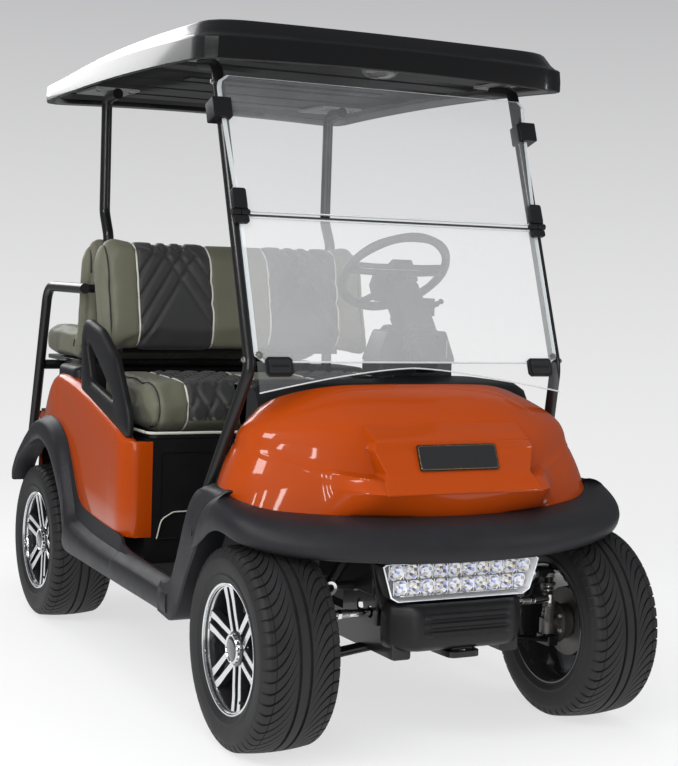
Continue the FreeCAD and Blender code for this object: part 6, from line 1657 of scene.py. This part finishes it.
def build_dash():
    """Moulded dash: curved front face, rolled top edge, glove-box lid, cup rings and key switches."""
    shape = Shape()
    rows = []
    section = metres((-790, 700), (-792, 780), (-780, 868), (-762, 893), (-735, 902), (-620, 903.5), (-500, 903),
                     (-455, 899), (-437, 886), (-430, 862), (-428, 800), (-432, 752), (-448, 724), (-480, 706),
                     (-560, 700))
    for y, z in section:
        row = []
        for k in range(41):
            x = -0.405 + 0.846 * k / 40
            edge = max(0.0, abs(x - 0.018) - 0.387) / 0.036
            slim = min(1.0, max(0.0, (0.12 - x) / 0.34))
            shy = -0.235 * slim * slim * (3 - 2 * slim) * min(1.0, max(0.0, (y + 0.735) / 0.28))
            swell = (0.05 * math.exp(-((x - 0.25) / 0.13) ** 4) if y > -0.6 else 0.0) + shy
            shrink = 1 - math.sqrt(max(0.0, 1 - edge ** 2))
            row.append(Vector((x, y + (swell - 0.012 * shrink if y > -0.6 else 0.004 * shrink),
                               z - (0.012 * shrink if z > 0.8 else -0.01 * shrink))))
        rows.append(row)
    shape.grid(rows, "black_moulding")
    for end in (0, -1):
        shape.cap([row[end] for row in rows], "black_moulding")
    lid = facing((-0.255, -0.663, 0.815), (0.28, 1, 0))
    shape.prism(slab(0.1, -0.045, 0.045, 0.012), -0.03, 0.004, "black", lid)
    shape.prism(slab(0.022, 0.022, 0.034, 0.004), 0.004, 0.008, "gloss", lid)
    for x in (0.02, 0.095):
        cup = facing((x, -0.545, 0.9035), (0, 0, 1))
        shape.lathe([(0.0005, 0.036), (0.004, 0.0345), (0.004, 0.0305), (0.0005, 0.029)], 32, "black",
                    cup @ Matrix.Rotation(-math.pi / 2, 4, "Y"))
        shape.prism(circle(0.0292, 32), -0.001, 0.0006, "mat", cup)
    for x, y in ((0.09, -0.421), (0.4, -0.416)):
        key = facing((x, y, 0.845), (0, 1, 0))
        shape.prism(circle(0.0135, 24), -0.006, 0.005, "metal", key)
        shape.prism(circle(0.0095, 24), 0.005, 0.0075, "mat", key)
    shape.made("dash_moulding", ("dashboard",), angle=42.0)
    mat = Shape()
    mat.prism(slab(0.466, -0.524, -0.2, 0.02), 0.3203, 0.324, "mat")
    for rib in range(30):
        x = -0.445 + rib * 0.0307
        mat.block((x - 0.0045, -0.51, 0.324), (x + 0.0045, -0.214, 0.3272), "mat")
    mat.made("ribbed_mat", ("floor_mat",), bevel=0.0008, angle=40.0)


RACK_Y = -1.058
RACK_Z = 0.34


def build_front_axle():
    """Black transverse leaf spring, rods with jam nuts and boots, the rack and its bellows."""
    spring = Shape()
    for leaf, (reach, thick) in enumerate(((0.395, 0.007), (0.3, 0.006))):
        rows = []
        for k in range(25):
            x = -reach + 2 * reach * k / 24
            z = 0.25 - 0.044 * (abs(x) / 0.395) ** 1.6 - leaf * 0.0075
            rows.append([Vector((x, y, z + dz))
                         for y, dz in ((-1.0245, 0), (-1.0245, thick), (-0.9805, thick), (-0.9805, 0))])
        spring.grid(rows, "satin", closed_columns=True)
        spring.cap(rows[0], "satin").cap(rows[-1], "satin")
    for low, high in ((0.256, 0.268), (0.234, 0.2425)):
        spring.block((-0.055, -1.036, low), (0.055, -0.969, high), "satin")
    for side in (-1, 1):
        def bar(x0, z0, x1, z1, radius, finish, sides):
            spring.tube([(side * x0, AXLE_FRONT_Y, z0), (side * x1, AXLE_FRONT_Y, z1)], radius, finish, sides)

        for y in (-1.029, -0.976):
            spring.tube([(side * 0.044, y, 0.228), (side * 0.044, y, 0.276)], 0.0045, "metal", 10)
        spring.prism(slab(0.016, -0.03, 0.03, 0.004), -0.006, 0.02, "satin",
                     Matrix.Translation((side * 0.388, AXLE_FRONT_Y, 0.206)))
        bar(0.35, 0.405, 0.392, 0.398, 0.015, "satin", 18)
        bar(0.18, 0.4, 0.352, 0.404, 0.0115, "satin", 16)
        for x in (0.205, 0.33):
            bar(x, 0.401, x + 0.012, 0.4015, 0.0165, "metal", 6)
        spring.hoop(rings(metres((10, 0), (10, 14), (18.5, 16), (20.5, 10), (20.5, 0)), 28), "chrome",
                    facing((side * 0.302, -1.018, 0.4025), (0, -1, 0)))
        bar(0.386, 0.214, 0.386, 0.386, 0.013, "satin", 18)
        for turn in range(9):
            z = 0.276 + turn * 0.0105
            bar(0.386, z, 0.386, z + 0.0055, [0.0162, 0.0148], "metal", 18)
        bar(0.386, 0.388, 0.386, 0.4, 0.02, "metal", 6)
        bar(0.3, 0.392, 0.246, 0.475, [0.013, 0.016], "satin", 16)
    spring.made("front_spring", ("front_suspension",), bevel=0.0008, angle=40.0)
    rack = Shape()
    rack.tube([(-0.088, RACK_Y, RACK_Z), (0.088, RACK_Y, RACK_Z)], 0.0205, "satin", 24)
    rack.prism(slab(0.034, -1.08, -1.037, 0.008), 0.318, 0.361, "cast")
    for side in (-1, 1):
        rack.tube([(side * (0.088 + 0.0043 * fold), RACK_Y, RACK_Z) for fold in range(16)],
                  [(0.0195 if fold % 2 else 0.015) - 0.0003 * fold for fold in range(16)], "mat", 24)
        for x, radius in ((0.0885, 0.0185), (0.1505, 0.0145)):
            rack.tube([(side * x, RACK_Y, RACK_Z), (side * (x + 0.003), RACK_Y, RACK_Z)], radius, "metal", 24)
    rack.made("rack_boots", ("steering_rack",), angle=35.0)


def build_tie_rods():
    """Bright tie rods: bar, jam nut and rod end with its boot."""
    shape = Shape()
    y, z = -1.0575, 0.34
    for side in (-1, 1):
        parts = [(0.1205, 0.3, 0.01, "chrome", 20), (0.286, 0.296, 0.014, "chrome", 6),
                 (0.3, 0.345, [0.012, 0.0105], "chrome", 20)]
        parts += [(0.262 + k * 0.0026, 0.2632 + k * 0.0026, 0.0118, "metal", 20) for k in range(9)]
        for x0, x1, radius, finish, sides in parts:
            shape.tube([(side * x0, y, z), (side * x1, y, z)], radius, finish, sides)
        for low, high, radius, finish in ((-0.0115, 0.0115, 0.0125, "chrome"), (0.0115, 0.0118, 0.0105, "mat")):
            shape.tube([(side * 0.352, y, z + low), (side * 0.352, y, z + high)], radius, finish, 24)
    shape.made("tie_rods", ("tie_rods",), body="tie_rod_body", angle=38.0)


def build_knuckles():
    """Forged knuckle a side: kingpin barrel, stub axle, steering arm and brake plate."""
    for name, side in SIDES:
        shape = Shape()
        for x0, z0, x1, z1, radius, sides in ((0.386, 0.232, 0.386, 0.274, 0.0215, 24),
                                              (0.386, 0.3655, 0.386, 0.3715, 0.019, 24),
                                              (0.386, 0.26, 0.47, 0.26, [0.02, 0.016], 24),
                                              (0.405, 0.26, 0.411, 0.26, 0.058, 40),
                                              (0.411, 0.26, 0.44, 0.26, [0.05, 0.048], 40)):
            shape.tube([(side * x0, AXLE_FRONT_Y, z0), (side * x1, AXLE_FRONT_Y, z1)], radius, "cast", sides)
        for k in range(6):
            angle = math.tau * k / 6 + 0.4
            bolt(shape, (side * 0.404, AXLE_FRONT_Y + 0.04 * math.cos(angle), AXLE_Z + 0.04 * math.sin(angle)),
                 (-side, 0, 0), 0.0055, 0.006)
        shape.tube([(side * 0.386, -1.01, 0.264), (side * 0.372, -1.03, 0.3), (side * 0.354, -1.0565, 0.3225)],
                   [0.014, 0.012, 0.011], "cast", 14)
        shape.tube([(side * 0.352, -1.0575, 0.318), (side * 0.352, -1.0575, 0.3275)], 0.0135, "cast", 20)
        shape.made("knuckle_" + name, ("knuckle_" + name,), body="knuckle_" + name + "_body", angle=38.0)


def build_rear():
    """Grip strips on the rear step and rings round the tail lamps."""
    shape = Shape()
    for x in (-0.3, 0.0, 0.3):
        for rib in range(5):
            y = 1.06 + rib * 0.04
            shape.block((x - 0.115, y, 0.3555), (x + 0.115, y + 0.012, 0.358), "mat")
    for side in (-1, 1):
        shape.hoop(rings(metres((34.5, 0), (34.5, 10), (40, 8), (41.5, 0)), 40), "chrome",
                   facing((side * 0.44, 0.9035, 0.62), (0, 1, 0)))
    shape.made("rear_step_grips", angle=40.0)


class CART_OT_stage(bpy.types.Operator):
    """Camera, lamps, sky and floor"""
    bl_idname = "cart.stage"
    bl_label = "Stage"

    def execute(self, context):
        build_stage()
        return {"FINISHED"}


class CART_OT_finishes(bpy.types.Operator):
    """Makes every finish and gives the frame's pieces theirs"""
    bl_idname = "cart.finishes"
    bl_label = "Finishes"

    def execute(self, context):
        make_finishes(context.scene.cart_colours)
        finish_nodes()
        return {"FINISHED"}


class CART_OT_tyres(bpy.types.Operator):
    """Four tyres with slanted tread cuts and two centre grooves"""
    bl_idname = "cart.tyres"
    bl_label = "Tyres"

    def execute(self, context):
        build_tyres(context.scene.cart_sizes)
        return {"FINISHED"}


class CART_OT_wheels(bpy.types.Operator):
    """Four black wheels with machined double spokes and a plain cap"""
    bl_idname = "cart.wheels"
    bl_label = "Wheels"

    def execute(self, context):
        build_wheels()
        return {"FINISHED"}


class CART_OT_nose(bpy.types.Operator):
    """Orange dome with the plate housing and the bare plate"""
    bl_idname = "cart.nose"
    bl_label = "Nose"

    def execute(self, context):
        build_cowl()
        build_plate()
        return {"FINISHED"}


class CART_OT_bumper(bpy.types.Operator):
    """Bullnose bumper and fenders"""
    bl_idname = "cart.bumper"
    bl_label = "Bumper"

    def execute(self, context):
        build_bumper()
        return {"FINISHED"}


class CART_OT_lamp(bpy.types.Operator):
    """Light bar, lower guard and tow bracket"""
    bl_idname = "cart.lamp"
    bl_label = "Lamp and guard"

    def execute(self, context):
        build_lamp()
        build_guard()
        return {"FINISHED"}


class CART_OT_roof(bpy.types.Operator):
    """Canopy with its underside, and the dome lamp"""
    bl_idname = "cart.roof"
    bl_label = "Roof"

    def execute(self, context):
        build_roof()
        return {"FINISHED"}


class CART_OT_struts(bpy.types.Operator):
    """Front and rear roof struts with their feet"""
    bl_idname = "cart.struts"
    bl_label = "Struts"

    def execute(self, context):
        build_struts()
        return {"FINISHED"}


class CART_OT_windshield(bpy.types.Operator):
    """Two clear panes with hinges, clips and retainers"""
    bl_idname = "cart.windshield"
    bl_label = "Windshield"

    def execute(self, context):
        build_windshield()
        return {"FINISHED"}


class CART_OT_seats(bpy.types.Operator):
    """Padded cushions and backs with channels, piping and boards"""
    bl_idname = "cart.seats"
    bl_label = "Seats"

    def execute(self, context):
        build_seats(context.scene.cart_sizes)
        build_boards()
        return {"FINISHED"}


class CART_OT_body(bpy.types.Operator):
    """Orange rear body with its black top caps"""
    bl_idname = "cart.body"
    bl_label = "Rear body"

    def execute(self, context):
        build_body()
        return {"FINISHED"}


class CART_OT_side_trim(bpy.types.Operator):
    """Wheel arch, sill and kick-up plate of each side"""
    bl_idname = "cart.side_trim"
    bl_label = "Side trim"

    def execute(self, context):
        build_side_trim()
        return {"FINISHED"}


class CART_OT_restraints(bpy.types.Operator):
    """Rear deck, and the hip restraint at each end of the bench"""
    bl_idname = "cart.restraints"
    bl_label = "Rear deck and hip restraints"

    def execute(self, context):
        build_deck()
        build_restraints()
        return {"FINISHED"}


class CART_OT_steering(bpy.types.Operator):
    """Steering wheel, column shroud and display pod"""
    bl_idname = "cart.steering"
    bl_label = "Steering"

    def execute(self, context):
        build_steering_wheel()
        build_column()
        return {"FINISHED"}


class CART_OT_dash(bpy.types.Operator):
    """Moulded dash and the ribbed floor mat"""
    bl_idname = "cart.dash"
    bl_label = "Dash and floor"

    def execute(self, context):
        build_dash()
        return {"FINISHED"}


class CART_OT_axle(bpy.types.Operator):
    """Leaf spring, rack, tie rods and knuckles"""
    bl_idname = "cart.axle"
    bl_label = "Front axle"

    def execute(self, context):
        build_front_axle()
        build_tie_rods()
        build_knuckles()
        return {"FINISHED"}


class CART_OT_rear(bpy.types.Operator):
    """Grip strips of the rear step and lamp rings"""
    bl_idname = "cart.rear"
    bl_label = "Rear step"

    def execute(self, context):
        build_rear()
        return {"FINISHED"}


OPERATORS = (CART_OT_stage, CART_OT_finishes, CART_OT_tyres, CART_OT_wheels, CART_OT_nose,
             CART_OT_bumper, CART_OT_lamp, CART_OT_roof, CART_OT_struts, CART_OT_windshield,
             CART_OT_seats, CART_OT_body, CART_OT_side_trim, CART_OT_restraints, CART_OT_steering,
             CART_OT_dash, CART_OT_axle, CART_OT_rear)


class CART_PT_panel(bpy.types.Panel):
    """Lists the cart's pieces, colours and sizes"""
    bl_idname = "CART_PT_panel"
    bl_label = "Cart"
    bl_space_type = "VIEW_3D"
    bl_region_type = "UI"
    bl_category = "Cart"

    def draw(self, context):
        for group in (context.scene.cart_colours, context.scene.cart_sizes):
            for key in group.__annotations__:
                self.layout.prop(group, key)
        for operator in OPERATORS:
            self.layout.operator(operator.bl_idname)


CLASSES = (CartColours, CartSizes, *OPERATORS, CART_PT_panel)


def register():
    for kind in CLASSES:
        bpy.utils.register_class(kind)
    bpy.types.Scene.cart_colours = bpy.props.PointerProperty(type=CartColours)
    bpy.types.Scene.cart_sizes = bpy.props.PointerProperty(type=CartSizes)


def unregister():
    del bpy.types.Scene.cart_sizes
    del bpy.types.Scene.cart_colours
    for kind in reversed(CLASSES):
        bpy.utils.unregister_class(kind)


def main():
    register()
    for operator in OPERATORS:
        group, name = operator.bl_idname.split(".")
        getattr(getattr(bpy.ops, group), name)()


if __name__ == "__main__":
    main()
